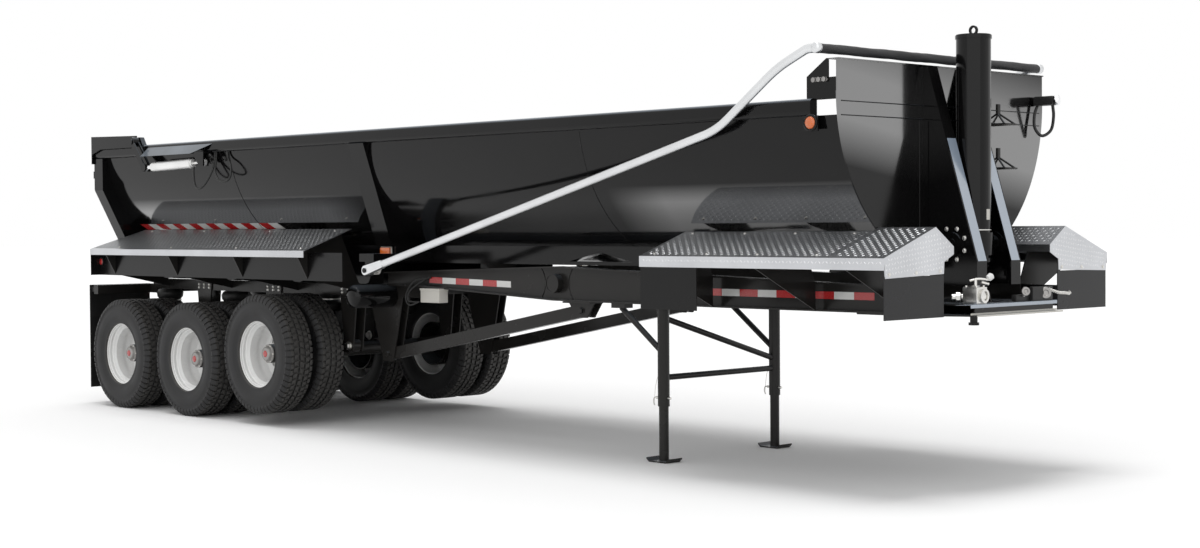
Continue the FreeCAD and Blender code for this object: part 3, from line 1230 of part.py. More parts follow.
def make_gate_cylinders():
    """Cylinders that swing the tailgate, each with its rod drawn in."""
    pivot = Vector(CYLINDER_PIVOT_X, CYLINDER_Y, CYLINDER_PIVOT_Z)
    eye = Vector(CRANK_EYE_X, CYLINDER_Y, CRANK_EYE_Z)
    along = (eye - pivot).normalize()
    length = (eye - pivot).Length
    reach = CYLINDER_PIVOT_X - CYLINDER_REAR_X

    def on_axis(distance):
        point = pivot + along * distance
        return (point.x, point.y, point.z)

    front = CYLINDER_PIVOT_X - CYLINDER_FRONT_X
    barrel = [rod(on_axis(front), on_axis(reach), CYLINDER_R),
              rod(on_axis(front - 22), on_axis(front), CYLINDER_BORE_R),
              rod(on_axis(0), on_axis(front), CYLINDER_NECK_R),
              rod((pivot.x, pivot.y - 14, pivot.z), (pivot.x, pivot.y + 14, pivot.z), 32.0)]
    bores = [rod(on_axis(front + 25), on_axis(reach - 30), CYLINDER_BORE_R),
             rod(on_axis(reach - 31), on_axis(reach), ROD_R + FIT),
             rod((pivot.x, pivot.y - 14, pivot.z), (pivot.x, pivot.y + 14, pivot.z), 18.3)]
    save_pair("gate_cylinder", joined(barrel).cut(bores))

    half = ROD_EYE_T / 2
    piston = front + 35
    rod_pieces = [rod(on_axis(piston), on_axis(length), ROD_R),
                  rod(on_axis(piston), on_axis(piston + GUIDE_H), CYLINDER_BORE_R - FIT),
                  rod((eye.x, eye.y - half, eye.z), (eye.x, eye.y + half, eye.z), ROD_EYE_R)]
    trim = [box(eye.x - 60, eye.x + 60, eye.y - 60, eye.y - half, eye.z - 60, eye.z + 60),
            box(eye.x - 60, eye.x + 60, eye.y + half, eye.y + 60, eye.z - 60, eye.z + 60)]
    save_pair("gate_rod", joined(rod_pieces).cut(trim))


def make_tarp_bow():
    """Arms of the tarp bow, and the cross tube with the rolled tarp."""
    y0 = BOW_Y - BOW_TUBE_W / 2
    y1 = BOW_Y + BOW_TUBE_W / 2
    points = (BOW_PIVOT, BOW_KNEE, BOW_UPPER, BOW_ELBOW)
    pieces = []
    for a, b in zip(points, points[1:]):
        pieces.append(bar_xz(a, b, BOW_TUBE_H, y0, y1))
        pieces.append(rod((b[0], y0, b[1]), (b[0], y1, b[1]), BOW_TUBE_H / 2))
    slope = math.atan2(BOW_KNEE[1] - BOW_PIVOT[1], BOW_KNEE[0] - BOW_PIVOT[0])
    socket_end = (BOW_PIVOT[0] + BOW_SOCKET_L * math.cos(slope),
                  BOW_PIVOT[1] + BOW_SOCKET_L * math.sin(slope))
    pieces.append(bar_xz(BOW_PIVOT, socket_end, BOW_TUBE_H + 16, y0, y1))
    pieces.append(rod((BOW_PIVOT[0], y0, BOW_PIVOT[1]), (BOW_PIVOT[0], y1, BOW_PIVOT[1]),
                      BOW_TUBE_H / 2 + 10))
    head = bar_xz(BOW_ELBOW, (TARP_ROLL_X, BOW_ELBOW[1]), BOW_TUBE_H - 8, y0, y1)
    pieces.append(head)
    pieces.append(rod((TARP_ROLL_X, y0, BOW_ELBOW[1]), (TARP_ROLL_X, y1, BOW_ELBOW[1]),
                      TARP_ROLL_R))
    bore = rod((BOW_PIVOT[0], y0, BOW_PIVOT[1]), (BOW_PIVOT[0], y1, BOW_PIVOT[1]),
               BOW_PIN_R + FIT)
    save_pair("tarp_arm", joined(pieces).cut(bore))
    save("tarp_roll", rod((TARP_ROLL_X, -y0, BOW_ELBOW[1]), (TARP_ROLL_X, y0, BOW_ELBOW[1]),
                          TARP_ROLL_R))


def make_tub_lamps():
    """Round lamps under the top rails and flat lamps at the feet of the posts."""
    x = ROUND_LAMP_X
    back = TOP_RAIL_OUTER_Y - 12
    bracket = box(x - 58, x + 58, back - 12, back, ROUND_LAMP_Z - 55, TOP_RAIL_LOW_Z)
    lens = rod((x, back, ROUND_LAMP_Z), (x, back + 22, ROUND_LAMP_Z), ROUND_LAMP_R)
    holder = box(POST_X - FOOT_HOLDER_W / 2, POST_X + FOOT_HOLDER_W / 2, POST_FOOT_Y - 30,
                 POST_FOOT_Y - 20,
                 POST_FOOT_Z - 110, POST_FOOT_Z)
    lamp = box(POST_X - FOOT_LAMP_W / 2, POST_X + FOOT_LAMP_W / 2, POST_FOOT_Y - 20,
               POST_FOOT_Y + 5, POST_FOOT_Z - 100, POST_FOOT_Z - 100 + FOOT_LAMP_H)
    left = [joined([bracket, lens]), joined([holder, lamp])]
    save("tub_lamps", Part.makeCompound(left + [mirrored(piece) for piece in left]))


def main():
    """Builds every sub-part."""
    os.makedirs("parts", exist_ok=True)
    make_wheels()
    make_axles()
    make_subframe()
    make_spring_hangers()
    make_rails()
    make_crossmembers()
    make_coupler()
    make_kingpin()
    make_draft_arms()
    make_legs()
    make_front_decks()
    make_rear_decks()
    make_deck_outriggers()
    make_deck_panels()
    make_mud_flaps()
    make_shell()
    make_bulkhead()
    make_bulkhead_steps()
    make_tail_frame()
    make_tub_sills()
    make_side_frames()
    make_doghouse()
    make_hoist()
    make_tailgate()
    make_gate_cylinders()
    make_gate_hoses()
    make_tarp_bow()
    make_tub_lamps()


main()
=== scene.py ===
"""Dresses a half-round end-dump semi-trailer that is parked on its landing legs.

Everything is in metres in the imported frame: +X points forward, +Y to the trailer's left and +Z up.
Stations along the trailer are given from the rear axle, as in the part's own source, and at() moves
them into the frame.
"""
import json
import logging
import math
import random
from dataclasses import dataclass, field
from enum import Enum
from typing import Iterable, Optional, Sequence

import bmesh
import bpy
from mathutils import Matrix, Vector

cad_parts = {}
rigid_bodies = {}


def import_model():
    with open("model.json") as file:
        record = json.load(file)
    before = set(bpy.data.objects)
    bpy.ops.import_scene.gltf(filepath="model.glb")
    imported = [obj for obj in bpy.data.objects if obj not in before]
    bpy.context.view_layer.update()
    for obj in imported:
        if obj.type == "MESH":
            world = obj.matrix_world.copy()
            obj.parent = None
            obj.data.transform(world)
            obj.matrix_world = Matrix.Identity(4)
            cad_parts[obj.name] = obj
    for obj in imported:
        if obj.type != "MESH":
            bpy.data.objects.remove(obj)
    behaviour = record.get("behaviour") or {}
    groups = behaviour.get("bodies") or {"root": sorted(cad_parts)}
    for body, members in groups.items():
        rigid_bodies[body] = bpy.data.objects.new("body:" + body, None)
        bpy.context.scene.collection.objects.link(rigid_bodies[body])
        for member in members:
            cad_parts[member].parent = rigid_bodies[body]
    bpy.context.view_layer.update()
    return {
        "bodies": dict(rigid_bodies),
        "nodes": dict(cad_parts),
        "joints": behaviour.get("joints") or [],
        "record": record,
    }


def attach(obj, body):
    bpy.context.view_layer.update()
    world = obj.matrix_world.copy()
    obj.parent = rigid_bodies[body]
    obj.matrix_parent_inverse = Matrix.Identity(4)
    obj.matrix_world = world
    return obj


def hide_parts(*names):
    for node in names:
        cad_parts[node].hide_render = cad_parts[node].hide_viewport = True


LOG = logging.getLogger("trailer")
MIDDLE = 4.335
SIDES = (("left", 1.0), ("right", -1.0))
SIGNS = (1.0, -1.0)
UP = Vector((0, 0, 1))
ACROSS = Vector((0, 1, 0))
AHEAD = Vector((1, 0, 0))
AXLES = {"rear": (0.0, 0.0), "middle": (1.192, 0.0), "front": (2.363, 0.099)}
TYRE_RADIUS = 0.526
RAIL_FACE = 0.605
TUB_AXIS_Z = 2.580
TUB_RADIUS = 1.163
WALL_X = 8.8102
BOW_PIVOT = (3.980, 1.385)
BOW_ROLL = (8.720, 2.850)
Point = Sequence[float]


def at(station: float, y: float, z: float) -> Vector:
    """A point given by its station from the rear axle."""
    return Vector((station - MIDDLE, y, z))


# Shader maths


class Sock:
    """A node's socket that adds Math nodes when it stands in an expression."""

    def __init__(self, sheet: "NodeSheet", socket: bpy.types.NodeSocket) -> None:
        """Wraps one output socket of a sheet's tree."""
        self.sheet = sheet
        self.socket = socket

    def _math(self, operation: str, first: object, second: object) -> "Sock":
        """Adds one Math node and returns its result."""
        return self.sheet.node("ShaderNodeMath", {"operation": operation}, {0: first, 1: second})

    def __add__(self, other: object) -> "Sock":
        """self + other."""
        return self._math("ADD", self, other)

    __radd__ = __add__

    def __sub__(self, other: object) -> "Sock":
        """self - other."""
        return self._math("SUBTRACT", self, other)

    def __rsub__(self, other: object) -> "Sock":
        """other - self."""
        return self._math("SUBTRACT", other, self)

    def __mul__(self, other: object) -> "Sock":
        """self * other."""
        return self._math("MULTIPLY", self, other)

    __rmul__ = __mul__

    def __truediv__(self, other: object) -> "Sock":
        """self / other."""
        return self._math("DIVIDE", self, other)

    def __pow__(self, other: object) -> "Sock":
        """self to a power."""
        return self._math("POWER", self, other)

    def __gt__(self, other: object) -> "Sock":
        """1 where self is greater."""
        return self._math("GREATER_THAN", self, other)

    def __lt__(self, other: object) -> "Sock":
        """1 where self is less."""
        return self._math("LESS_THAN", self, other)

    def max(self, other: object) -> "Sock":
        """The greater of two values."""
        return self._math("MAXIMUM", self, other)

    def size(self) -> "Sock":
        """The value without its sign."""
        return self._math("ABSOLUTE", self, 0.0)

    def wave(self) -> "Sock":
        """The sine of self."""
        return self._math("SINE", self, 0.0)

    def ramp(self, low: float, high: float) -> "Sock":
        """0 at low and 1 at high, held between."""
        return self.sheet.node("ShaderNodeMapRange", {"clamp": True},
                               {"Value": self, "From Min": low, "From Max": high})


class NodeSheet:
    """The node tree of one material or world."""

    def __init__(self, name: str, world: bool = False) -> None:
        """Starts an empty material of that name, or an empty world."""
        self.owner = (bpy.data.worlds if world else bpy.data.materials).new(name)
        self.owner.use_nodes = True
        self.tree = self.owner.node_tree
        self.tree.nodes.clear()
        self.output = self.tree.nodes.new("ShaderNodeOutput" + ("World" if world else "Material"))

    def node(self, kind: str, settings: Optional[dict] = None, inputs: Optional[dict] = None,
             output: object = 0) -> Sock:
        """Adds a node.

        Args:
            kind: Blender's type of the node.
            settings: its properties, set before its sockets.
            inputs: values or sockets by input name or number.
            output: name or number of the output to return.

        Returns:
            The wrapped output socket.
        """
        made = self.tree.nodes.new(kind)
        for key, value in (settings or {}).items():
            if key == "stops":
                self._set_stops(made, value)
            else:
                setattr(made, key, value)
        for key, value in (inputs or {}).items():
            if isinstance(value, Sock):
                self.tree.links.new(value.socket, made.inputs[key])
            else:
                made.inputs[key].default_value = value
        return Sock(self, made.outputs[output])

    @staticmethod
    def _set_stops(made: bpy.types.Node, stops: Sequence[tuple]) -> None:
        """Sets a ramp's stops from (place, grey) pairs."""
        elements = made.color_ramp.elements
        while len(elements) > 1:
            elements.remove(elements[-1])
        for number, (place, grey) in enumerate(stops):
            element = elements[0] if number == 0 else elements.new(place)
            element.position = place
            element.color = (grey, grey, grey, 1.0)

    def place(self) -> Sock:
        """The object's own coordinates."""
        return self.node("ShaderNodeTexCoord", output="Object")

    def noise(self, scale: float, detail: float = 3.0, stretch: Point = (1.0, 1.0, 1.0)) -> Sock:
        """Noise from 0 to 1 in the object's coordinates, stretched along an axis."""
        spot = self.node("ShaderNodeMapping", None, {"Vector": self.place(), "Scale": stretch})
        return self.node("ShaderNodeTexNoise", None,
                         {"Vector": spot, "Scale": scale, "Detail": detail}, "Fac")

    def axis(self, name: str) -> Sock:
        """One of the object's coordinates, X, Y or Z."""
        return self.node("ShaderNodeSeparateXYZ", None, {0: self.place()}, name)

    def facing(self, name: str) -> Sock:
        """How far the surface faces along X, Y or Z, from -1 to 1."""
        normal = self.node("ShaderNodeTexCoord", output="Normal")
        return self.node("ShaderNodeSeparateXYZ", None, {0: normal}, name)

    def blend(self, share: object, first: object, second: object) -> Sock:
        """A colour between two, each a colour's numbers or a socket, by share."""
        ends = [end if isinstance(end, Sock) else (*end, 1.0) for end in (first, second)]
        return self.node("ShaderNodeMix", {"data_type": "RGBA"},
                         {0: share, 6: ends[0], 7: ends[1]}, 2)

    def bump(self, height: Sock, distance: float) -> Sock:
        """A normal from a height in metres times distance."""
        return self.node("ShaderNodeBump", None,
                         {"Strength": 1.0, "Distance": distance, "Height": height})

    def finish(self, inputs: dict) -> bpy.types.Material:
        """Adds the surface shader, links it and returns the material."""
        return self.surface(self.node("ShaderNodeBsdfPrincipled", None, inputs))

    def surface(self, shader: Sock) -> bpy.types.ID:
        """Links a shader to the output and returns the material or world."""
        self.tree.links.new(shader.socket, self.output.inputs["Surface"])
        return self.owner


# Finishes


@dataclass(frozen=True)
class GlossPaint:
    """Sprayed gloss paint with a faint orange peel, a film of dust low down and a painted sky
    reflection on faces that look up.

    Where nose is given, what lies ahead of nose_x has that colour instead. Each row of painted
    reflection is an axis with the places where a clear coat, laid on to paint in a band of
    reflection, starts and is full; lean raises or lowers those places across the trailer. A gap in
    the painted reflection is given by the middle of a stretch along X without the coat, half its
    length, and the length over which it comes back; where it is given, only faces that look away
    from the middle plane have the coat.
    """

    colour: Point = (0.0035, 0.0034, 0.0036)
    dust: Point = (0.11, 0.10, 0.09)
    dust_share: float = 0.04
    painted_sky: Point = (0.36, 0.41, 0.47)
    painted_sky_share: float = 0.30
    roughness: float = 0.08
    level: float = 0.24
    ior: float = 1.5
    peel: float = 0.00004
    nose: Point = ()
    nose_x: float = 4.80
    painted_reflection_bands: tuple = ()
    lean: float = 0.0
    painted_reflection_gap: tuple = ()
    painted_reflection_ior: float = 2.4

    def build(self, name: str) -> bpy.types.Material:
        """Makes the material of that name."""
        sheet = NodeSheet(name)
        cloud = sheet.noise(2.3, 5.0).ramp(0.42, 0.75)
        low = 1.0 - sheet.axis("Z").ramp(0.2, 1.6)
        film = cloud * (0.25 + 0.75 * low) * self.dust_share
        # Painted sky reflection: faces that look up are blended towards a pale blue sky colour.
        top = sheet.facing("Z").ramp(0.35, 1.0) * self.painted_sky_share
        coated = sheet.blend(film, self.colour, self.dust)
        if self.nose:
            coated = sheet.blend(sheet.axis("X") > self.nose_x, coated, self.nose)
        dust_and_painted_sky = sheet.blend(top * (0.7 + 0.3 * cloud), coated, self.painted_sky)
        peel = sheet.noise(320.0, 2.0)
        # Painted reflection: the clear coat's weight is masked to bands by height, lean and X, so
        # that it paints in a reflection.
        coat = 0.0
        for axis, start, full in self.painted_reflection_bands:
            share = (sheet.axis(axis) + self.lean * sheet.axis("Y")).ramp(start, full)
            coat = share if coat == 0.0 else coat * share
        if self.painted_reflection_gap:
            middle, half, soft = self.painted_reflection_gap
            coat = coat * (sheet.axis("X") - middle).size().ramp(half, half + soft)
            coat = coat * (sheet.facing("Y") * sheet.axis("Y")).ramp(0.02, 0.25)
        return sheet.finish({
            "Coat Weight": coat,
            "Coat IOR": self.painted_reflection_ior,
            "Coat Roughness": 0.08,
            "Base Color": dust_and_painted_sky,
            "Roughness": self.roughness + 0.08 * cloud + 0.16 * (low * cloud),
            "Specular IOR Level": self.level,
            "IOR": self.ior,
            "Normal": sheet.bump(peel, self.peel),
        })


@dataclass(frozen=True)
class WheelPaint:
    """White enamel on the wheels with a little road film."""

    colour: Point = (0.86, 0.86, 0.85)
    film: Point = (0.45, 0.43, 0.40)

    def build(self, name: str) -> bpy.types.Material:
        """Makes the material of that name."""
        sheet = NodeSheet(name)
        cloud = sheet.noise(9.0, 6.0).ramp(0.5, 0.85)
        speck = sheet.noise(140.0, 2.0).ramp(0.66, 0.8)
        return sheet.finish({
            "Base Color": sheet.blend(0.16 * cloud + 0.10 * speck, self.colour, self.film),
            "Roughness": 0.24 + 0.2 * cloud,
            "Coat Weight": 0.3,
            "Coat Roughness": 0.08,
            "Normal": sheet.bump(sheet.noise(260.0, 2.0), 0.00005),
        })


@dataclass(frozen=True)
class PlateMetal:
    """Rolled or drawn aluminium and steel, with fine drawn lines and handling marks."""

    colour: Point = (0.86, 0.87, 0.88)
    roughness: float = 0.27
    lines: Point = (1.0, 1.0, 1.0)
    mark: float = 0.12
    scale: float = 60.0

    def build(self, name: str) -> bpy.types.Material:
        """Makes the material of that name."""
        sheet = NodeSheet(name)
        drawn = sheet.noise(self.scale, 4.0, self.lines)
        stain = sheet.noise(3.1, 6.0).ramp(0.38, 0.8)
        dull = tuple(0.72 * value for value in self.colour)
        return sheet.finish({
            "Base Color": sheet.blend(0.55 * stain, self.colour, dull),
            "Metallic": 1.0,
            "Roughness": self.roughness + self.mark * (drawn - 0.5) + 0.10 * stain,
            "Normal": sheet.bump(drawn, 0.00006),
        })


@dataclass(frozen=True)
class TreadPlate:
    """Tread plate with painted shade on the tops between its bars and painted light on the lips and
    nose.

    Behind rear_x the tops keep rear_share of their brightness.
    """

    top: Point = (0.42, 0.43, 0.45)
    face: Point = (0.60, 0.61, 0.63)
    lip_y: float = 1.2795
    nose_x: float = 4.9275
    rear_x: float = 0.70
    rear_share: float = 0.55
    roughness: float = 0.30

    def build(self, name: str) -> bpy.types.Material:
        """Makes the material of that name."""
        sheet = NodeSheet(name)
        # Painted light and shade: the lips and nose take the brighter face colour and the tops the
        # darker top colour, as lit and shaded copies of one plate.
        edge = (sheet.axis("Y").size() > self.lip_y).max(sheet.axis("X") > self.nose_x)
        rolled = sheet.noise(90.0, 4.0)
        stain = sheet.noise(2.6, 6.0).ramp(0.35, 0.8)
        rear = tuple(self.rear_share * value for value in self.top)
        tops = sheet.blend(sheet.axis("X") > self.rear_x, rear, self.top)
        painted_light_and_shade = sheet.blend(edge, tops, self.face)
        dull = tuple(0.5 * value for value in self.top)
        return sheet.finish({
            "Base Color": sheet.blend(0.25 * stain, painted_light_and_shade, dull),
            "Metallic": 1.0,
            "Roughness": self.roughness + 0.12 * (rolled - 0.5) + 0.1 * stain,
            "Normal": sheet.bump(rolled, 0.00008),
        })


@dataclass(frozen=True)
class Rubber:
    """Black rubber with a dusty bloom, paler where a tyre has run on the road."""

    colour: Point = (0.010, 0.010, 0.011)
    bloom: Point = (0.036, 0.035, 0.033)
    tread: Point = (0.075, 0.072, 0.068)
    worn: float = 0.0
    roughness: float = 0.55
    grain: float = 420.0

    def build(self, name: str) -> bpy.types.Material:
        """Makes the material of that name."""
        sheet = NodeSheet(name)
        cloud = sheet.noise(7.0, 6.0).ramp(0.4, 0.8)
        grain = sheet.noise(self.grain, 3.0)
        road = (1.0 - sheet.facing("Y").size().ramp(0.35, 0.75)) * self.worn
        tone = sheet.blend(0.45 * cloud, self.colour, self.bloom)
        return sheet.finish({
            "Base Color": sheet.blend(road, tone, self.tread),
            "Roughness": self.roughness + 0.18 * cloud,
            "Specular IOR Level": 0.4,
            "Normal": sheet.bump(grain, 0.00012),
        })


@dataclass(frozen=True)
class Lens:
    """Moulded lamp lens with fine prisms behind its face."""

    colour: Point
    glow: float = 0.12

    def build(self, name: str) -> bpy.types.Material:
        """Makes the material of that name."""
        sheet = NodeSheet(name)
        prisms = (sheet.axis("X") * 900.0).wave() * (sheet.axis("Z") * 900.0).wave()
        lit = prisms.ramp(-1.0, 1.0)
        deep = tuple(0.55 * value for value in self.colour)
        return sheet.finish({
            "Base Color": sheet.blend(lit, deep, self.colour),
            "Roughness": 0.12 + 0.08 * lit,
            "Coat Weight": 1.0,
            "Coat Roughness": 0.03,
            "Emission Color": sheet.blend(lit, (0.0, 0.0, 0.0), self.colour),
            "Emission Strength": self.glow,
            "Normal": sheet.bump(prisms, 0.0003),
        })


@dataclass(frozen=True)
class Tape:
    """Reflecting tape with a fine honeycomb."""

    colour: Point
    cell: float = 190.0

    def build(self, name: str) -> bpy.types.Material:
        """Makes the material of that name."""
        sheet = NodeSheet(name)
        cells = sheet.node("ShaderNodeTexVoronoi", {"feature": "DISTANCE_TO_EDGE"},
                           {"Vector": sheet.place(), "Scale": self.cell}, "Distance")
        seam = 1.0 - cells.ramp(0.0, 0.07)
        grey = tuple(0.72 * value for value in self.colour)
        return sheet.finish({
            "Base Color": sheet.blend(0.5 * seam + 0.2 * sheet.noise(22.0, 4.0).ramp(0.5, 0.9),
                                      self.colour, grey),
            "Roughness": 0.26 + 0.1 * seam,
            "Coat Weight": 0.5,
            "Coat Roughness": 0.1,
            "Normal": sheet.bump(cells, 0.0001),
        })


@dataclass(frozen=True)
class TarpCloth:
    """Coated tarp cloth with its weave and soft creases."""

    colour: Point = (0.012, 0.012, 0.013)

    def build(self, name: str) -> bpy.types.Material:
        """Makes the material of that name."""
        sheet = NodeSheet(name)
        weave = (sheet.axis("Y") * 2600.0).wave() + (sheet.axis("Z") * 2600.0).wave()
        crease = sheet.noise(14.0, 5.0, (1.0, 0.25, 1.0))
        return sheet.finish({
            "Base Color": sheet.blend(crease.ramp(0.3, 0.8), self.colour, (0.03, 0.03, 0.032)),
            "Roughness": 0.5 + 0.2 * crease,
            "Normal": sheet.bump(0.05 * weave + crease, 0.002),
        })


class Coat(Enum):
    """The finishes of the trailer's pieces."""

    BLACK = "black_gloss"
    SHELL = "tub_shell_gloss"
    RAIL = "top_rail_gloss"
    CAST = "cast_grey"
    SHEEN = "front_wall_gloss"
    SKY_REFLECTION = "flange_gloss"
    FRAME = "black_frame_paint"
    DARK = "dark_panel_paint"
    WHEEL = "white_wheel_enamel"
    TREAD = "tread_plate_aluminium"
    BARS = "tread_plate_bars"
    BARE = "bare_aluminium_tube"
    SILVER = "silver_cylinder_paint"
    CHROME = "chromed_rod"
    PLATED = "plated_fitting"
    TYRE = "tyre_rubber"
    RUBBER = "hose_and_flap_rubber"
    AMBER = "amber_lens"
    RED = "red_lens"
    WHITE_TAPE = "white_tape"
    RED_TAPE = "red_tape"
    LABEL = "blank_plate"
    TARP = "tarp_cloth"


FINISHES = {
    Coat.BLACK: GlossPaint(),
    # Painted reflection: a band of clear coat low on the shell's outer faces, left out over a middle
    # stretch along X.
    Coat.SHELL: GlossPaint(painted_reflection_bands=(("Z", 2.02, 1.90), ("Z", 1.60, 1.70)),
                           painted_reflection_gap=(0.70, 1.50, 0.55)),
    # Painted reflection: a band of clear coat across the front wall's middle height, leaning across
    # the trailer.
    Coat.SHEEN: GlossPaint(roughness=0.12, lean=0.15, painted_reflection_ior=2.75,
                           painted_reflection_bands=(("Z", 1.95, 2.25), ("Z", 3.00, 2.55))),
    # Painted sky reflection: the side frames' faces that look up take much more of the sky colour.
    Coat.RAIL: GlossPaint(painted_sky_share=0.8),
    # Painted sky reflection: black paint given a pale blue colour, for thin sheets on the doghouse's
    # flanges and the coupler lid's edge.
    Coat.SKY_REFLECTION: GlossPaint((0.27, 0.33, 0.41), painted_sky_share=0.8, roughness=0.14, level=0.9,
                            ior=2.0),
    Coat.FRAME: GlossPaint((0.019, 0.018, 0.017), roughness=0.2, dust_share=0.08, level=0.22),
    Coat.DARK: GlossPaint(roughness=0.2, nose=(0.020, 0.020, 0.021)),
    Coat.WHEEL: WheelPaint(),
    Coat.TREAD: TreadPlate(),
    Coat.BARS: TreadPlate((0.66, 0.67, 0.68), (0.84, 0.84, 0.85)),
    Coat.BARE: PlateMetal((0.74, 0.75, 0.76), 0.30, (0.06, 1.0, 1.0)),
    Coat.SILVER: PlateMetal((0.85, 0.85, 0.84), 0.45, mark=0.05),
    Coat.CAST: PlateMetal((0.34, 0.33, 0.32), 0.42, mark=0.08),
    Coat.CHROME: PlateMetal((0.88, 0.88, 0.89), 0.08, mark=0.03),
    Coat.PLATED: PlateMetal((0.72, 0.71, 0.68), 0.3, scale=150.0),
    Coat.TYRE: Rubber(worn=0.75),
    Coat.RUBBER: Rubber((0.012, 0.012, 0.012), roughness=0.42),
    Coat.AMBER: Lens((0.88, 0.17, 0.008), 0.05),
    Coat.RED: Lens((0.55, 0.012, 0.012)),
    Coat.WHITE_TAPE: Tape((0.80, 0.80, 0.78)),
    Coat.RED_TAPE: Tape((0.52, 0.02, 0.022)),
    Coat.LABEL: GlossPaint((0.62, 0.60, 0.55), roughness=0.3, level=0.5),
    Coat.TARP: TarpCloth(),
}


class Shop:
    """The materials, made once, and what is common to all pieces."""

    def __init__(self) -> None:
        """Builds every finish."""
        self.coats = {coat: finish.build(coat.value) for coat, finish in FINISHES.items()}
        self.count = 0

    def report(self, piece: bpy.types.Object) -> None:
        """Logs a finished piece."""
        self.count += 1
        LOG.info("%3d %s: %d faces", self.count, piece.name, len(piece.data.polygons))


# Mesh making


def circle(count: int, phase: float = 0.0) -> list:
    """Angles of so many even steps round a circle, the first one phase steps on."""
    return [2 * math.pi * (k + phase) / count for k in range(count)]


def spoke(angle: float, radius: float = 1.0, y: float = 0.0) -> Vector:
    """A point at an angle and radius about the axle's line, which runs along Y."""
    return Vector((math.sin(angle) * radius, y, math.cos(angle) * radius))


def smoothed(mesh: bpy.types.Mesh, crease: float) -> bpy.types.Mesh:
    """The mesh, smooth but for edges that turn by more than crease degrees."""
    mesh.shade_smooth()
    mesh.set_sharp_from_angle(angle=math.radians(crease))
    return mesh


def merged(name: str, meshes: Iterable[bpy.types.Mesh], crease: float) -> bpy.types.Mesh:
    """Several meshes as one, smooth but for edges that turn by more than crease degrees."""
    whole = bmesh.new()
    for mesh in meshes:
        whole.from_mesh(mesh)
    made = bpy.data.meshes.new(name)
    whole.to_mesh(made)
    whole.free()
    return smoothed(made, crease)


def show(made: bpy.types.Object) -> bpy.types.Object:
    """The object, linked into the scene."""
    bpy.context.scene.collection.objects.link(made)
    return made


class Shape:
    """Faces gathered for one piece."""

    def __init__(self) -> None:
        """Starts with nothing."""
        self.bm = bmesh.new()

    def ring(self, rows: Sequence[Sequence[Vector]], closed: bool = False) -> "Shape":
        """Skins rows of points that each go round.

        Args:
            rows: the rings, each with the same number of points.
            closed: whether the last ring joins the first, or each end has a face of its own.

        Returns:
            The shape itself.
        """
        made = [[self.bm.verts.new(point) for point in row] for row in rows]
        pairs = list(zip(made, made[1:]))
        if closed:
            pairs.append((made[-1], made[0]))
        for row, following in pairs:
            for k in range(len(row)):
                self.bm.faces.new((row[k - 1], row[k], following[k], following[k - 1]))
        if not closed:
            self.bm.faces.new(list(reversed(made[0])))
            self.bm.faces.new(made[-1])
        return self

    def lathe(self, profile: Sequence[Point], origin: Vector, axis: Vector, segments: int = 48,
              closed: bool = False) -> "Shape":
        """Turns (along, radius) points about an axis through origin."""
        axis = axis.normalized()
        side = axis.orthogonal().normalized()
        up = axis.cross(side)
        return self.ring([[origin + axis * along
                           + (side * math.cos(angle) + up * math.sin(angle)) * radius
                           for angle in circle(segments)] for along, radius in profile], closed)

    def rod(self, start: Vector, end: Vector, radius: float, sides: int = 16) -> "Shape":
        """A round bar."""
        length = (end - start).length
        return self.lathe(((0.0, radius), (length, radius)), start, end - start, sides)

    def prism(self, outline: Sequence[Vector], sweep: Vector) -> "Shape":
        """A flat outline carried along a vector."""
        return self.ring([outline, [point + sweep for point in outline]])

    def box(self, low: Vector, high: Vector, bevel: float = 0.0) -> "Shape":
        """A block between any two opposite corners, with its edges eased."""
        low, high = [Vector([pick(pair) for pair in zip(low, high)]) for pick in (min, max)]
        made = bmesh.ops.create_cube(self.bm, size=1.0)["verts"]
        middle = (low + high) / 2
        size = high - low
        for vert in made:
            vert.co = Vector((vert.co.x * size.x, vert.co.y * size.y, vert.co.z * size.z)) + middle
        if bevel:
            edges = list({edge for vert in made for edge in vert.link_edges})
            bmesh.ops.bevel(self.bm, geom=edges, offset=bevel, segments=2, profile=0.6,
                            affect="EDGES")
        return self

    def sweep(self, path: Sequence[Vector], radius: float, sides: int = 10) -> "Shape":
        """A round tube along points, carried without twist."""
        tangent = (path[1] - path[0]).normalized()
        side = tangent.orthogonal().normalized()
        rows = []
        for number, point in enumerate(path):
            ahead = path[min(number + 1, len(path) - 1)]
            behind = path[max(number - 1, 0)]
            tangent = (ahead - behind).normalized()
            side = (side - tangent * side.dot(tangent)).normalized()
            up = tangent.cross(side)
            rows.append([point + (side * math.cos(angle) + up * math.sin(angle)) * radius
                         for angle in circle(sides)])
        return self.ring(rows)

    def mesh(self, name: str, crease: float = 35.0) -> bpy.types.Mesh:
        """The shape as a mesh with its faces turned outwards."""
        bmesh.ops.remove_doubles(self.bm, verts=self.bm.verts, dist=0.00001)
        bmesh.ops.recalc_face_normals(self.bm, faces=self.bm.faces)
        mesh = bpy.data.meshes.new(name)
        self.bm.to_mesh(mesh)
        self.bm.free()
        return smoothed(mesh, crease)


@dataclass
class Piece:
    """A finished mesh that rides on a body."""

    shop: Shop
    name: str
    coat: Coat
    body: str
    slot: str
    stands_for: tuple = ()

    def place(self, mesh: bpy.types.Mesh) -> bpy.types.Object:
        """Puts the mesh into the scene.

        Args:
            mesh: the piece's mesh, in the frame.

        Returns:
            The object, riding on its body.
        """
        made = show(bpy.data.objects.new(self.name, mesh))
        mesh.materials.clear()
        mesh.materials.append(self.shop.coats[self.coat])
        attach(made, self.body)
        if self.stands_for:
            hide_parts(*self.stands_for)
        self.shop.report(made)
        return made


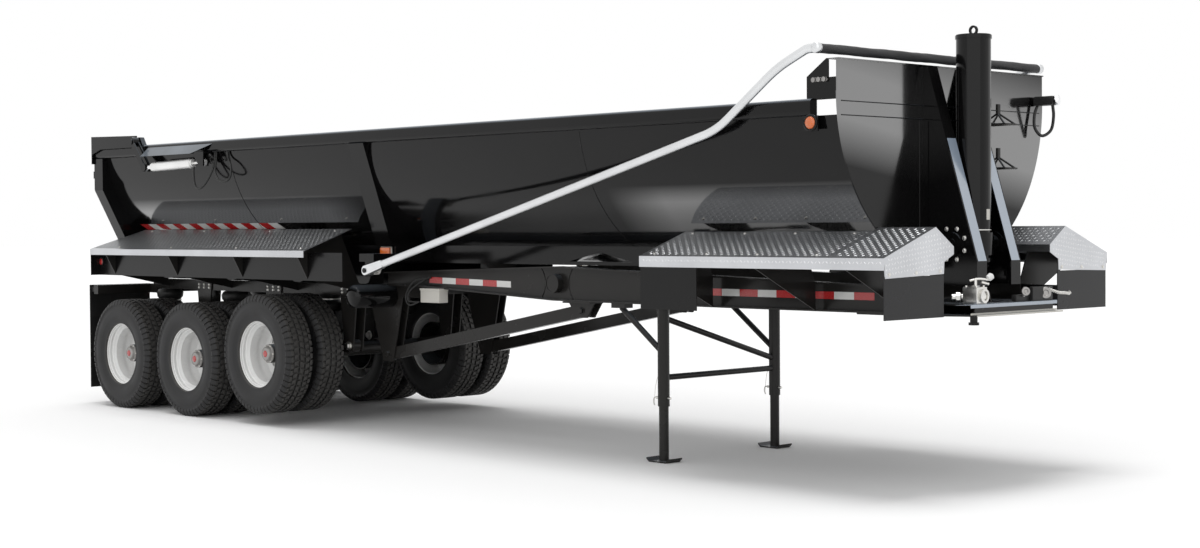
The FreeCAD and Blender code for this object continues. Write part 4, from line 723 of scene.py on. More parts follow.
@dataclass
class Spread:
    """Small like shapes, placed by a Geometry Nodes tree on points that carry their turns."""

    shape: bpy.types.Mesh
    points: list = field(default_factory=list)
    turns: list = field(default_factory=list)

    SOCKETS = (("Geometry", "INPUT", "Geometry"), ("Shape", "INPUT", "Object"),
               ("Size", "INPUT", "Float"), ("Finish", "INPUT", "Material"),
               ("Geometry", "OUTPUT", "Geometry"))
    NODES = {
        "source": "NodeGroupInput", "sink": "NodeGroupOutput", "info": "GeometryNodeObjectInfo",
        "turn": "GeometryNodeInputNamedAttribute", "euler": "FunctionNodeEulerToRotation",
        "spread": "GeometryNodeInstanceOnPoints", "realize": "GeometryNodeRealizeInstances",
        "finish": "GeometryNodeSetMaterial",
    }
    LINKS = (
        ("source", "Geometry", "spread", "Points"), ("source", "Shape", "info", "Object"),
        ("info", "Geometry", "spread", "Instance"), ("turn", "Attribute", "euler", 0),
        ("euler", 0, "spread", "Rotation"), ("source", "Size", "spread", "Scale"),
        ("spread", "Instances", "realize", "Geometry"),
        ("realize", "Geometry", "finish", "Geometry"),
        ("source", "Finish", "finish", "Material"), ("finish", "Geometry", "sink", "Geometry"),
    )

    def add(self, point: Vector, outward: Vector, spin: float = 0.0,
            along: Optional[Vector] = None) -> None:
        """Adds one, with its own Z outward and its X along, or turned by spin."""
        z_axis = outward.normalized()
        if along is None:
            x_axis = z_axis.orthogonal().normalized()
        else:
            x_axis = (along - z_axis * along.dot(z_axis)).normalized()
        y_axis = z_axis.cross(x_axis)
        turn = Matrix((x_axis, y_axis, z_axis)).transposed() @ Matrix.Rotation(spin, 3, "Z")
        self.points.append(point)
        self.turns.append(turn.to_euler())

    def tree(self) -> bpy.types.NodeTree:
        """The tree: instances on the points, realized, with their finish."""
        group = bpy.data.node_groups.new("spread", "GeometryNodeTree")
        for name, way, kind in self.SOCKETS:
            group.interface.new_socket(name, in_out=way, socket_type="NodeSocket" + kind)
        nodes = {name: group.nodes.new(kind) for name, kind in self.NODES.items()}
        nodes["turn"].data_type = "FLOAT_VECTOR"
        nodes["turn"].inputs["Name"].default_value = "turn"
        for start, output, end, entry in self.LINKS:
            group.links.new(nodes[start].outputs[output], nodes[end].inputs[entry])
        return group

    def mesh(self, finish: bpy.types.Material) -> bpy.types.Mesh:
        """Runs the tree on the points and returns the plain mesh."""
        dots = bpy.data.meshes.new("dots")
        dots.from_pydata(self.points, [], [])
        turn = dots.attributes.new("turn", "FLOAT_VECTOR", "POINT")
        turn.data.foreach_set("vector", [value for euler in self.turns for value in euler])
        carrier = show(bpy.data.objects.new("dots", dots))
        pattern = show(bpy.data.objects.new("pattern", self.shape))
        group = self.tree()
        modifier = carrier.modifiers.new("spread", "NODES")
        modifier.node_group = group
        values = {"Shape": pattern, "Size": 1.0, "Finish": finish}
        for item in group.interface.items_tree:
            if item.in_out == "INPUT" and item.name in values:
                modifier[item.identifier] = values[item.name]
        ready = carrier.evaluated_get(bpy.context.evaluated_depsgraph_get())
        mesh = bpy.data.meshes.new_from_object(ready)
        carrier.modifiers.remove(modifier)
        if "turn" in mesh.attributes:
            mesh.attributes.remove(mesh.attributes["turn"])
        for one in (carrier, pattern):
            bpy.data.objects.remove(one)
        return smoothed(mesh, 35.0)


def hex_head(radius: float, height: float) -> bpy.types.Mesh:
    """A bolt's head on its washer, standing on the XY plane."""
    shape = Shape()
    shape.lathe(((-0.002, radius * 1.35), (0.0015, radius * 1.35), (0.002, radius * 1.25)),
                Vector(), UP, 12)
    shape.lathe(((0.0015, radius), (height * 0.86, radius), (height, radius * 0.84)),
                Vector(), UP, 6)
    return shape.mesh("hex_head", 25.0)


def tread_bar(length: float, width: float, height: float) -> bpy.types.Mesh:
    """One raised bar of the tread plate."""
    shape = Shape()
    bm = shape.bm
    a, b = length / 2, width / 2
    base = [bm.verts.new(p) for p in ((-a, 0, 0), (0, -b, 0), (a, 0, 0), (0, b, 0))]
    top = [bm.verts.new(p) for p in ((-a * 0.55, 0, height), (a * 0.55, 0, height))]
    bm.faces.new((base[0], base[1], top[1], top[0]))
    bm.faces.new((base[1], base[2], top[1]))
    bm.faces.new((base[2], base[3], top[0], top[1]))
    bm.faces.new((base[3], base[0], top[0]))
    bm.faces.new(list(reversed(base)))
    return shape.mesh("tread_bar", 180.0)


def smooth_line(points: Sequence[Vector], steps: int = 8) -> list:
    """Points on a smooth curve through the given ones, by Catmull and Rom's rule."""
    ends = [points[0] * 2 - points[1]] + list(points) + [points[-1] * 2 - points[-2]]
    line = []
    for p0, p1, p2, p3 in zip(ends, ends[1:], ends[2:], ends[3:]):
        for k in range(steps):
            t = k / steps
            line.append(0.5 * ((2 * p1) + (p2 - p0) * t + (2 * p0 - 5 * p1 + 4 * p2 - p3) * t ** 2
                               + (3 * p1 - p0 - 3 * p2 + p3) * t ** 3))
    line.append(points[-1].copy())
    return line


# Sub-assemblies


@dataclass
class Assembly:
    """Pieces that are made and finished in one shop."""

    shop: Shop

    def put(self, name: str, coat: Coat, body: str, slot: str, form: object,
            crease: float = 35.0, stands_for: tuple = ()) -> None:
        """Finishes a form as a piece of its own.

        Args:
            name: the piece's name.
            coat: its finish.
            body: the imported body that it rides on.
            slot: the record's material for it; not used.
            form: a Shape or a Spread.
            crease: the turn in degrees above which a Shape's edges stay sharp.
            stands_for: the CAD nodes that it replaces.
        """
        if isinstance(form, Spread):
            mesh = form.mesh(self.shop.coats[coat])
        else:
            mesh = form.mesh(name, crease)
        Piece(self.shop, name, coat, body, slot, stands_for).place(mesh)


@dataclass
class CadDress(Assembly):
    """Puts finishes on the CAD nodes by the start of their names, frame paint on the rest."""

    frame: dict

    RULES = {
        Coat.SHELL: ("tub_shell",),
        Coat.FRAME: ("bulkhead_steps",),
        Coat.SHEEN: ("bulkhead",),
        Coat.RAIL: ("side_frame",),
        Coat.BLACK: ("tail_frame", "doghouse", "hoist_barrel", "tailgate", "tub_sills"),
        Coat.CHROME: ("hoist_stage", "gate_rod"),
        Coat.TREAD: ("front_deck", "rear_deck"),
        Coat.DARK: ("deck_panels",),
        Coat.RUBBER: ("mud_flaps", "gate_hoses"),
        Coat.SILVER: ("gate_cylinder",),
        Coat.BARE: ("tarp_arm",),
        Coat.TYRE: ("tyres",),
        Coat.WHEEL: ("wheels",),
        Coat.AMBER: ("tub_lamps",),
        Coat.TARP: ("tarp_roll",),
    }

    def build(self) -> None:
        """Gives each node its material."""
        for name, node in self.frame["nodes"].items():
            coat = next((coat for coat, starts in self.RULES.items()
                         if name.startswith(starts)), Coat.FRAME)
            node.data.materials.clear()
            node.data.materials.append(self.shop.coats[coat])


@dataclass
class Wheels(Assembly):
    """Dual tyres on white dished wheels, with hubs, nuts and tread."""

    radius: float = TYRE_RADIUS
    width: float = 0.275
    outer_y: float = 1.136
    inner_y: float = 0.806
    disc_y: float = 0.971
    rim_half: float = 0.117
    segments: int = 96
    blocks: int = 58
    tread_depth: float = 0.017
    lug_y: float = 0.105
    hand_hole_radius: float = 0.172
    nut_radius: float = 0.1095
    screw_radius: float = 0.076

    def build(self) -> None:
        """Makes one set and places it six times."""
        tyres = self._tyres()
        parts = (("rims", Coat.WHEEL, self._wheel()), ("hub", Coat.FRAME, self._hub()),
                 ("hub_cap", Coat.CAST, self._cap()), ("cap_plug", Coat.RED, self._plug()),
                 ("wheel_nuts", Coat.PLATED, self._nuts()))
        for axle, (station, lift) in AXLES.items():
            for side, sign in SIDES:
                move = Matrix.Translation(at(station, 0.0, self.radius + lift))
                move @= Matrix.Rotation(0.0 if sign > 0 else math.pi, 4, "Z")
                place = "%s_%s" % (axle, side)
                body = "wheel_" + place
                mesh = tyres.copy()
                mesh.transform(move)
                Piece(self.shop, "tyre_pair_" + place, Coat.TYRE, body, "tyre",
                      ("tyres_" + place,)).place(mesh)
                for name, coat, pattern in parts:
                    mesh = pattern.copy()
                    mesh.transform(move)
                    stands_for = ("wheels_" + place,) if name == "rims" else ()
                    Piece(self.shop, name + "_" + place, coat, body, "white_paint",
                          stands_for).place(mesh)

    def _tyre_profile(self, middle: float) -> list:
        """Closed section of one tyre as (y, radius) points."""
        half = self.width / 2
        crown = self.radius - 0.015
        outer = ((self.rim_half - 0.008, 0.2925), (self.rim_half + 0.004, 0.299),
                 (self.rim_half + 0.002, 0.322), (half - 0.006, 0.352), (half - 0.003, 0.372),
                 (half, 0.410), (half - 0.002, 0.432), (half - 0.006, 0.446), (half - 0.005, 0.450),
                 (half - 0.010, 0.468), (half - 0.018, 0.492), (half - 0.031, crown - 0.003),
                 (half - 0.046, crown))
        line = [(middle + y, r) for y, r in outer]
        line += [(middle - y, r) for y, r in reversed(outer)]
        return line

    def _tyres(self) -> bpy.types.Mesh:
        """Both tyres of a side, with their tread blocks."""
        shape = Shape()
        for middle in (self.outer_y, self.inner_y):
            shape.lathe(self._tyre_profile(middle), Vector(), ACROSS, self.segments, closed=True)
        meshes = [shape.mesh("carcass", 40.0)]
        for block, rows in self._tread_rows():
            spread = Spread(block)
            for middle in (self.outer_y, self.inner_y):
                for offset, phase, turn in rows:
                    for angle in circle(self.blocks, phase):
                        out = spoke(angle)
                        spread.add(out * (self.radius - self.tread_depth)
                                   + ACROSS * (middle + offset), out, turn, along=ACROSS)
            meshes.append(spread.mesh(self.shop.coats[Coat.TYRE]))
        return merged("tyre_pair", meshes, 38.0)

    def _tread_rows(self) -> Iterable[tuple]:
        """Blocks of the tread with the rows they stand in."""
        yield self._block(0.040, 0.040, 0.3), ((-0.058, 0.0, 0.0), (0.058, 0.5, 0.0))
        yield self._block(0.036, 0.046, -0.3), ((0.0, 0.25, 0.0),)
        yield self._lug(), ((self.lug_y, 0.0, 0.0), (-self.lug_y, 0.5, math.pi))

    @staticmethod
    def _block(across: float, around: float, skew: float) -> bpy.types.Mesh:
        """One tread block: X runs across the tyre and Z outwards."""
        a, b = across / 2, around / 2
        outline = ((-a, -b - skew * a), (-a * 0.1, -b * 0.8), (a, -b + skew * a), (a, b + skew * a),
                   (a * 0.1, b * 0.8), (-a, b - skew * a))
        rows = [[Vector((x * inset, y * inset, z)) for x, y in outline]
                for z, inset in ((-0.004, 1.0), (0.0155, 0.97), (0.017, 0.9))]
        return Shape().ring(rows).mesh("block", 30.0)

    def _lug(self) -> bpy.types.Mesh:
        """One shoulder lug that runs over the edge and down the wall; +X is outwards."""
        half = self.width / 2 - self.lug_y
        side = ((-0.022, 0.017), (half - 0.030, 0.0165), (half - 0.014, 0.002),
                (half - 0.001, -0.030), (half - 0.008, -0.052), (half - 0.024, -0.030),
                (-0.022, -0.010))
        rows = [[Vector((x, y, z)) for x, z in side] for y in (-0.0205, 0.0205)]
        return Shape().ring(rows).mesh("lug", 30.0)

    def _wheel(self) -> bpy.types.Mesh:
        """Outer and inner wheel of a side, hand holes cut through."""
        y1 = self.outer_y + self.rim_half
        y0 = self.outer_y - self.rim_half
        disc = self.disc_y
        outer = ((y1, 0.314), (y1 - 0.006, 0.316), (y1 - 0.013, 0.309), (y1 - 0.014, 0.293),
                 (y1 - 0.050, 0.289), (y1 - 0.090, 0.262), (y0 + 0.080, 0.258), (y0 + 0.030, 0.289),
                 (y0, 0.292), (y0, 0.284), (disc + 0.034, 0.272), (disc + 0.012, 0.236),
                 (disc, 0.205), (disc, 0.105), (disc + 0.012, 0.105), (disc + 0.012, 0.203),
                 (disc + 0.022, 0.226), (disc + 0.030, 0.236), (y0 + 0.022, 0.256),
                 (y0 + 0.036, 0.261), (y0 + 0.060, 0.261), (y0 + 0.066, 0.251), (y1 - 0.096, 0.251),
                 (y1 - 0.088, 0.260), (y1 - 0.070, 0.270), (y1 - 0.065, 0.279),
                 (y1 - 0.040, 0.279), (y1 - 0.035, 0.285), (y1 - 0.020, 0.286),
                 (y1 - 0.015, 0.296), (y1 - 0.006, 0.303))
        b0 = self.inner_y - self.rim_half
        b1 = self.inner_y + self.rim_half
        inner = ((b0, 0.314), (b0 + 0.012, 0.309), (b0 + 0.014, 0.293), (b1 - 0.03, 0.289),
                 (b1, 0.292), (disc - 0.001, 0.205), (disc - 0.001, 0.105), (disc - 0.012, 0.105),
                 (disc - 0.012, 0.203), (b1 - 0.012, 0.284), (b0 + 0.02, 0.284))
        discs = [self.cut(self._turned(profile), self._hand_holes()) for profile in (outer, inner)]
        return merged("rims", discs, 24.0)

    def _hand_holes(self) -> bpy.types.Mesh:
        """Ten oval cutters that pass through both discs."""
        cutters = Shape()
        for angle in circle(10, 0.5):
            out = spoke(angle)
            around = ACROSS.cross(out)
            cutters.ring([[out * (self.hand_hole_radius + 0.019 * math.sin(turn))
                           + around * 0.028 * math.cos(turn) + ACROSS * y
                           for turn in circle(16)]
                          for y in (self.disc_y - 0.03, self.disc_y + 0.05)])
        return cutters.mesh("hand_hole_cutters")

    def _turned(self, profile: Sequence[Point]) -> bpy.types.Mesh:
        """A closed profile turned about the axle."""
        return Shape().lathe(profile, Vector(), ACROSS, self.segments, True).mesh("turned", 32.0)

    @staticmethod
    def cut(body: bpy.types.Mesh, tool: bpy.types.Mesh) -> bpy.types.Mesh:
        """The body with the tool's shapes cut away."""
        objects = [show(bpy.data.objects.new("cut", mesh)) for mesh in (body, tool)]
        modifier = objects[0].modifiers.new("cut", "BOOLEAN")
        modifier.operation = "DIFFERENCE"
        modifier.solver = "EXACT"
        modifier.object = objects[1]
        ready = objects[0].evaluated_get(bpy.context.evaluated_depsgraph_get())
        mesh = bpy.data.meshes.new_from_object(ready)
        for one in objects:
            bpy.data.objects.remove(one)
        return mesh

    def _hub(self) -> bpy.types.Mesh:
        """Brake drum and hub barrel."""
        shape = Shape()
        drum = ((0.724, 0.195), (0.724, 0.208), (0.745, 0.208), (0.75, 0.203), (0.92, 0.205),
                (0.955, 0.196), (0.958, 0.12), (0.94, 0.11), (0.93, 0.05), (0.92, 0.05),
                (0.915, 0.188))
        shape.lathe(drum, Vector(), ACROSS, 64, closed=True)
        hub = ((0.012, 0.05), (0.012, 0.128), (0.020, 0.128), (0.026, 0.092), (0.034, 0.0845),
               (0.146, 0.0835), (0.152, 0.080), (0.154, 0.05))
        shape.lathe(hub, ACROSS * self.disc_y, ACROSS, 64, closed=True)
        return shape.mesh("hub", 32.0)

    def _cap(self) -> bpy.types.Mesh:
        """Oil cap of the hub."""
        cap = ((0.154, 0.03), (0.154, 0.082), (0.163, 0.082), (0.165, 0.070), (0.170, 0.066),
               (0.184, 0.064), (0.192, 0.058), (0.195, 0.048), (0.194, 0.03))
        seat = ACROSS * self.disc_y
        return Shape().lathe(cap, seat, ACROSS, 48, closed=True).mesh("cap", 32.0)

    def _plug(self) -> bpy.types.Mesh:
        """Red plug in the middle of the cap."""
        plug = ((0.160, 0.0305), (0.195, 0.030), (0.200, 0.024), (0.202, 0.008))
        seat = ACROSS * self.disc_y
        return Shape().lathe(plug, seat, ACROSS, 32).mesh("plug", 32.0)

    def _nuts(self) -> bpy.types.Mesh:
        """Ten wheel nuts on their studs, and the cap's screws."""
        shape = Shape()
        for profile, sides in ((((0.0, 0.019), (0.004, 0.019), (0.0045, 0.0165)), 14),
                               (((0.004, 0.0155), (0.021, 0.0155), (0.024, 0.0125)), 6),
                               (((0.02, 0.009), (0.036, 0.009), (0.038, 0.007)), 8)):
            shape.lathe(profile, Vector(), UP, sides)
        nuts = Spread(shape.mesh("nut", 25.0))
        for angle in circle(10):
            nuts.add(spoke(angle, self.nut_radius, self.disc_y + 0.019), ACROSS, angle)
        screws = Spread(hex_head(0.006, 0.006))
        for angle in circle(6, 0.5):
            screws.add(spoke(angle, self.screw_radius, self.disc_y + 0.163), ACROSS, angle)
        plated = self.shop.coats[Coat.PLATED]
        return merged("nuts", [spread.mesh(plated) for spread in (nuts, screws)], 25.0)


@dataclass
class Decks(Assembly):
    """Raised bars and bolts of the tread-plate decks."""

    pitch: float = 0.030
    margin: float = 0.016

    NOSE, FOLD, REAR = 9.263, 8.818, 7.153
    LIP, LIP_FOOT = (1.280, 1.526), (1.280, 1.451)
    SLOPE_TOP, RIDGE, INNER = (0.813, 1.6909), (0.745, 1.715), (0.553, 1.590)
    FRONT_FIELDS = (
        ((REAR, *LIP), (FOLD, *LIP), (FOLD, *SLOPE_TOP), (REAR, *SLOPE_TOP)),
        ((FOLD, *LIP), (NOSE, *LIP), (NOSE, *RIDGE), (FOLD, *RIDGE)),
        ((FOLD, *RIDGE), (NOSE, *RIDGE), (NOSE, *INNER), (FOLD, *INNER)),
        ((REAR, *LIP_FOOT), (NOSE, *LIP_FOOT), (NOSE, *LIP), (REAR, *LIP)),
        ((NOSE, 1.262, 1.402), (NOSE, 1.276, 1.520), (NOSE, 0.745, 1.708), (NOSE, 0.556, 1.585),
         (NOSE, 0.556, 1.541), (NOSE, 0.655, 1.493), (NOSE, 0.660, 1.418)),
    )
    TAIL, HEAD = -0.498, 3.147
    REAR_LIP, REAR_FOOT, REAR_TOP = (1.295, 1.541), (1.295, 1.484), (0.850, 1.725)
    REAR_FIELDS = (
        ((TAIL, *REAR_LIP), (HEAD, *REAR_LIP), (3.240, *REAR_TOP), (-0.210, *REAR_TOP)),
        ((TAIL, *REAR_FOOT), (HEAD, *REAR_FOOT), (HEAD, *REAR_LIP), (TAIL, *REAR_LIP)),
    )
    BOLTS = (
        ((0.0, 0.333, 0.943), (7.26, 7.75, 8.2, 8.7), ((0.850, 1.678), (1.235, 1.5420))),
        ((0.0, 0.382, 0.924), (0.0, 0.95, 2.05, 3.05), ((0.890, 1.7086), (1.250, 1.5597))),
        ((1.0, 0.0, 0.0), (NOSE,), ((1.225, 1.425), (0.95, 1.43), (0.70, 1.435))),
    )

    def build(self) -> None:
        """Dresses the front and rear decks of both sides."""
        for side, sign in SIDES:
            for end, fields in (("front", self.FRONT_FIELDS), ("rear", self.REAR_FIELDS)):
                corners = [[at(x, sign * y, z) for x, y, z in outline] for outline in fields]
                self._bars("%s_deck_bars_%s" % (end, side), corners)
            self._bolts(side, sign)

    def _bars(self, name: str, fields: Sequence[Sequence[Vector]]) -> None:
        """Covers flat fields with bars that stand crosswise in turn."""
        spread = Spread(tread_bar(0.027, 0.0085, 0.0016))
        for corners in fields:
            along = (corners[1] - corners[0]).normalized()
            normal = self._normal(corners)
            if normal.z < -0.01 or (abs(normal.z) < 0.01 and normal.dot(corners[0]) < 0):
                normal = -normal
            across = normal.cross(along)
            flat = [((c - corners[0]).dot(along), (c - corners[0]).dot(across)) for c in corners]
            low_u, high_u = min(u for u, _ in flat), max(u for u, _ in flat)
            low_v, high_v = min(v for _, v in flat), max(v for _, v in flat)
            for i in range(int((high_u - low_u) / self.pitch)):
                for j in range(int((high_v - low_v) / self.pitch)):
                    u = low_u + (i + 0.5) * self.pitch
                    v = low_v + (j + 0.5) * self.pitch
                    if self._inside(u, v, flat):
                        spin = math.radians(45.0 if (i + j) % 2 else -45.0)
                        spread.add(corners[0] + along * u + across * v - normal * 0.0002,
                                   normal, spin, along=along)
        self.put(name, Coat.BARS, "chassis", "tread_plate", spread)

    @staticmethod
    def _normal(corners: Sequence[Vector]) -> Vector:
        """The unit normal of a flat field."""
        return (corners[1] - corners[0]).cross(corners[2] - corners[0]).normalized()

    def _inside(self, u: float, v: float, flat: Sequence[tuple]) -> bool:
        """Whether a point is inside the outline by at least the margin."""
        hit = False
        for (u0, v0), (u1, v1) in zip(flat, list(flat[1:]) + [flat[0]]):
            length = math.hypot(u1 - u0, v1 - v0)
            share = max(0.0, min(1.0, ((u - u0) * (u1 - u0) + (v - v0) * (v1 - v0)) / length ** 2))
            if math.hypot(u - u0 - share * (u1 - u0), v - v0 - share * (v1 - v0)) < self.margin:
                return False
            if (v0 > v) != (v1 > v) and u < u0 + (v - v0) / (v1 - v0) * (u1 - u0):
                hit = not hit
        return hit

    def _bolts(self, side: str, sign: float) -> None:
        """Bolt heads along the decks' inner and outer edges."""
        spread = Spread(hex_head(0.010, 0.007))
        for (x, y, z), stations, spots in self.BOLTS:
            for station in stations:
                for spot_y, spot_z in spots:
                    spread.add(at(station, sign * spot_y, spot_z), Vector((x, sign * y, z)))
        self.put("deck_bolts_" + side, Coat.PLATED, "chassis", "bare_aluminium", spread)


@dataclass
class Markings(Assembly):
    """Reflecting tape on the rails and the tub, left blank."""

    height: float = 0.050

    def build(self) -> None:
        """Sticks the tape strips."""
        for side, sign in SIDES:
            for coat, parity in ((Coat.RED_TAPE, 0), (Coat.WHITE_TAPE, 1)):
                shape = Shape()
                self._rail_strip(shape, sign, (3.99, 1.292), (5.03, 1.272), parity)
                self._rail_strip(shape, sign, (6.80, 1.258), (8.67, 1.258), parity)
                name = "rail_%s_%s" % (coat.value, side)
                self.put(name, coat, "chassis", "white_paint", shape)
                shape = Shape()
                self._tub_strip(shape, sign, parity)
                name = "tub_%s_%s" % (coat.value, side)
                self.put(name, coat, "tub", "white_paint", shape)

    def _rail_strip(self, shape: Shape, sign: float, start: Point, end: Point,
                    parity: int) -> None:
        """Every other block of one strip on a rail's web, between two (station, z) points."""
        count = round((end[0] - start[0]) / 0.172)
        for k in range(parity, count, 2):
            corners = []
            for share in (k / count, (k + 0.994) / count):
                station = start[0] + share * (end[0] - start[0])
                z = start[1] + share * (end[1] - start[1])
                corners.append((station, z))
            half = self.height / 2
            (x0, z0), (x1, z1) = corners
            outline = ((x0, z0 - half), (x1, z1 - half), (x1, z1 + half), (x0, z0 + half))
            points = [at(x, sign * RAIL_FACE, z) for x, z in outline]
            shape.prism(points, Vector((0, sign * 0.0012, 0)))

    def _tub_strip(self, shape: Shape, sign: float, parity: int) -> None:
        """Every other slanted block of the strip on the tub above the rear deck."""
        block = 0.150
        slant = ((1.728, 0.055), (1.755, 0.0275), (1.782, 0.0))
        for k in range(parity, 16, 2):
            start = -0.30 + k * block
            rows = []
            for radius in (TUB_RADIUS + 0.0002, TUB_RADIUS + 0.0012):
                row = []
                for edge, levels in ((start, slant), (start + block, reversed(slant))):
                    for z, shift in levels:
                        row.append(self._on_shell(edge + shift, sign, z, radius))
                rows.append(row)
            shape.ring(rows)

    @staticmethod
    def _on_shell(station: float, sign: float, z: float, radius: float) -> Vector:
        """A point on the tub's round shell at a height."""
        drop = TUB_AXIS_Z - z
        return at(station, sign * math.sqrt(radius ** 2 - drop ** 2), z)


@dataclass
class Lamps(Assembly):
    """Marker, foot and tail lamps with their housings."""

    def build(self) -> None:
        """Makes the lamps of the tub and the frame."""
        lenses = Shape()
        housings = Shape()
        for sign in SIGNS:
            out = ACROSS * sign
            seat = at(8.615, sign * 1.176, 2.385)
            housings.box(at(8.557, sign * 1.176, 2.330), at(8.673, sign * 1.188, 2.430), 0.002)
            housings.lathe(((0.011, 0.036), (0.011, 0.056), (0.018, 0.056), (0.021, 0.050),
                            (0.019, 0.040)), seat, out, 40, closed=True)
            lenses.lathe(((0.008, 0.0405), (0.021, 0.040), (0.029, 0.034), (0.033, 0.020),
                          (0.034, 0.006)), seat, out, 40)
        names = ("marker_lamp_lenses", "marker_lamp_housings")
        self.put(names[0], Coat.AMBER, "tub", "amber_lens", lenses, 50.0, ("tub_lamps",))
        self.put(names[1], Coat.BLACK, "tub", "black_paint", housings)
        self._foot_lamps()
        self._tail_lamps()

    def _foot_lamps(self) -> None:
        """Flat amber lamps on light holders below the side posts."""
        holder = Shape()
        lens = Shape()
        for sign in SIGNS:
            holder.box(at(3.698, sign * 0.880, 1.465), at(3.842, sign * 0.889, 1.575), 0.002)
            lens.box(at(3.706, sign * 0.889, 1.506), at(3.834, sign * 0.909, 1.567), 0.009)
        self.put("foot_lamp_holders", Coat.LABEL, "tub", "amber_lens", holder)
        self.put("foot_lamp_lenses", Coat.AMBER, "tub", "amber_lens", lens, 60.0)

    def _tail_lamps(self) -> None:
        """Round red lamps in the tail beam, and the oval markers on the deck's rear ends."""
        lenses = Shape()
        rims = Shape()
        for sign in SIGNS:
            for y in (0.20, 0.33, 0.46):
                seat = at(-0.640, sign * y, 1.135)
                rims.lathe(((0.0, 0.048), (0.0, 0.056), (0.008, 0.056), (0.010, 0.048)),
                           seat, -AHEAD, 32, closed=True)
                lenses.lathe(((-0.001, 0.0485), (0.009, 0.048), (0.014, 0.036), (0.016, 0.010)),
                             seat, -AHEAD, 32)
            out = ACROSS * sign
            seat = at(-0.462, sign * 1.190, 1.415)
            rims.lathe(((0.0, 0.030), (0.0, 0.038), (0.006, 0.038), (0.008, 0.031)),
                       seat, out, 28, closed=True)
            lenses.lathe(((-0.001, 0.031), (0.007, 0.031), (0.012, 0.022), (0.013, 0.006)),
                         seat, out, 28)
        self.put("tail_lamp_lenses", Coat.RED, "chassis", "amber_lens", lenses, 50.0)
        self.put("tail_lamp_rims", Coat.RUBBER, "chassis", "mud_flap", rims)


@dataclass
class Hoses(Assembly):
    """Hoses of the gate cylinders, each a hanging loop between two fittings."""

    RAIL_Y, RAIL_Z = 1.166, 2.4297

    radius: float = 0.009
    routes: tuple = (
        ((1.345, 1.240, 2.293), (1.335, 1.240, 2.190), (1.385, 1.236, 2.090),
         (1.500, 1.226, 2.120), (1.584, 1.184, 2.270), (1.586, RAIL_Y, 2.370),
         (1.586, RAIL_Y, RAIL_Z)),
        ((1.614, RAIL_Y, RAIL_Z), (1.614, RAIL_Y, 2.360), (1.612, 1.187, 2.270),
         (1.670, 1.195, 2.180), (1.790, 1.195, 2.150), (1.890, 1.192, 2.190),
         (1.880, 1.182, 2.310), (1.800, RAIL_Y, 2.370), (1.800, RAIL_Y, RAIL_Z)),
    )

    def build(self) -> None:
        """Lays the four hoses."""
        first = True
        for side, sign in SIDES:
            for number, route in enumerate(self.routes, 1):
                points = [at(x, sign * y, z) for x, y, z in route]
                name = "gate_hose_%d_%s" % (number, side)
                curve = bpy.data.curves.new(name, "CURVE")
                curve.dimensions = "3D"
                curve.bevel_depth = self.radius
                curve.bevel_resolution = 3
                curve.use_fill_caps = True
                spline = curve.splines.new("NURBS")
                spline.points.add(len(points) - 1)
                for control, point in zip(spline.points, points):
                    control.co = (*point, 1.0)
                spline.order_u = 3
                spline.use_endpoint_u = True
                spline.resolution_u = 8
                curve.materials.append(self.shop.coats[Coat.RUBBER])
                made = show(bpy.data.objects.new(name, curve))
                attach(made, "tub")
                if first:
                    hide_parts("gate_hoses")
                    first = False
                tuple(points[0])
                self._length(curve)
                LOG.info("hose %s", name)

    @staticmethod
    def _length(curve: bpy.types.Curve) -> float:
        """Length of the curve's own line."""
        bare = curve.copy()
        bare.bevel_depth = 0.0
        carrier = bpy.data.objects.new("bare", bare)
        mesh = bpy.data.meshes.new_from_object(carrier)
        spots = [vert.co for vert in mesh.vertices]
        bpy.data.objects.remove(carrier)
        return sum((b - a).length for a, b in zip(spots, spots[1:]))


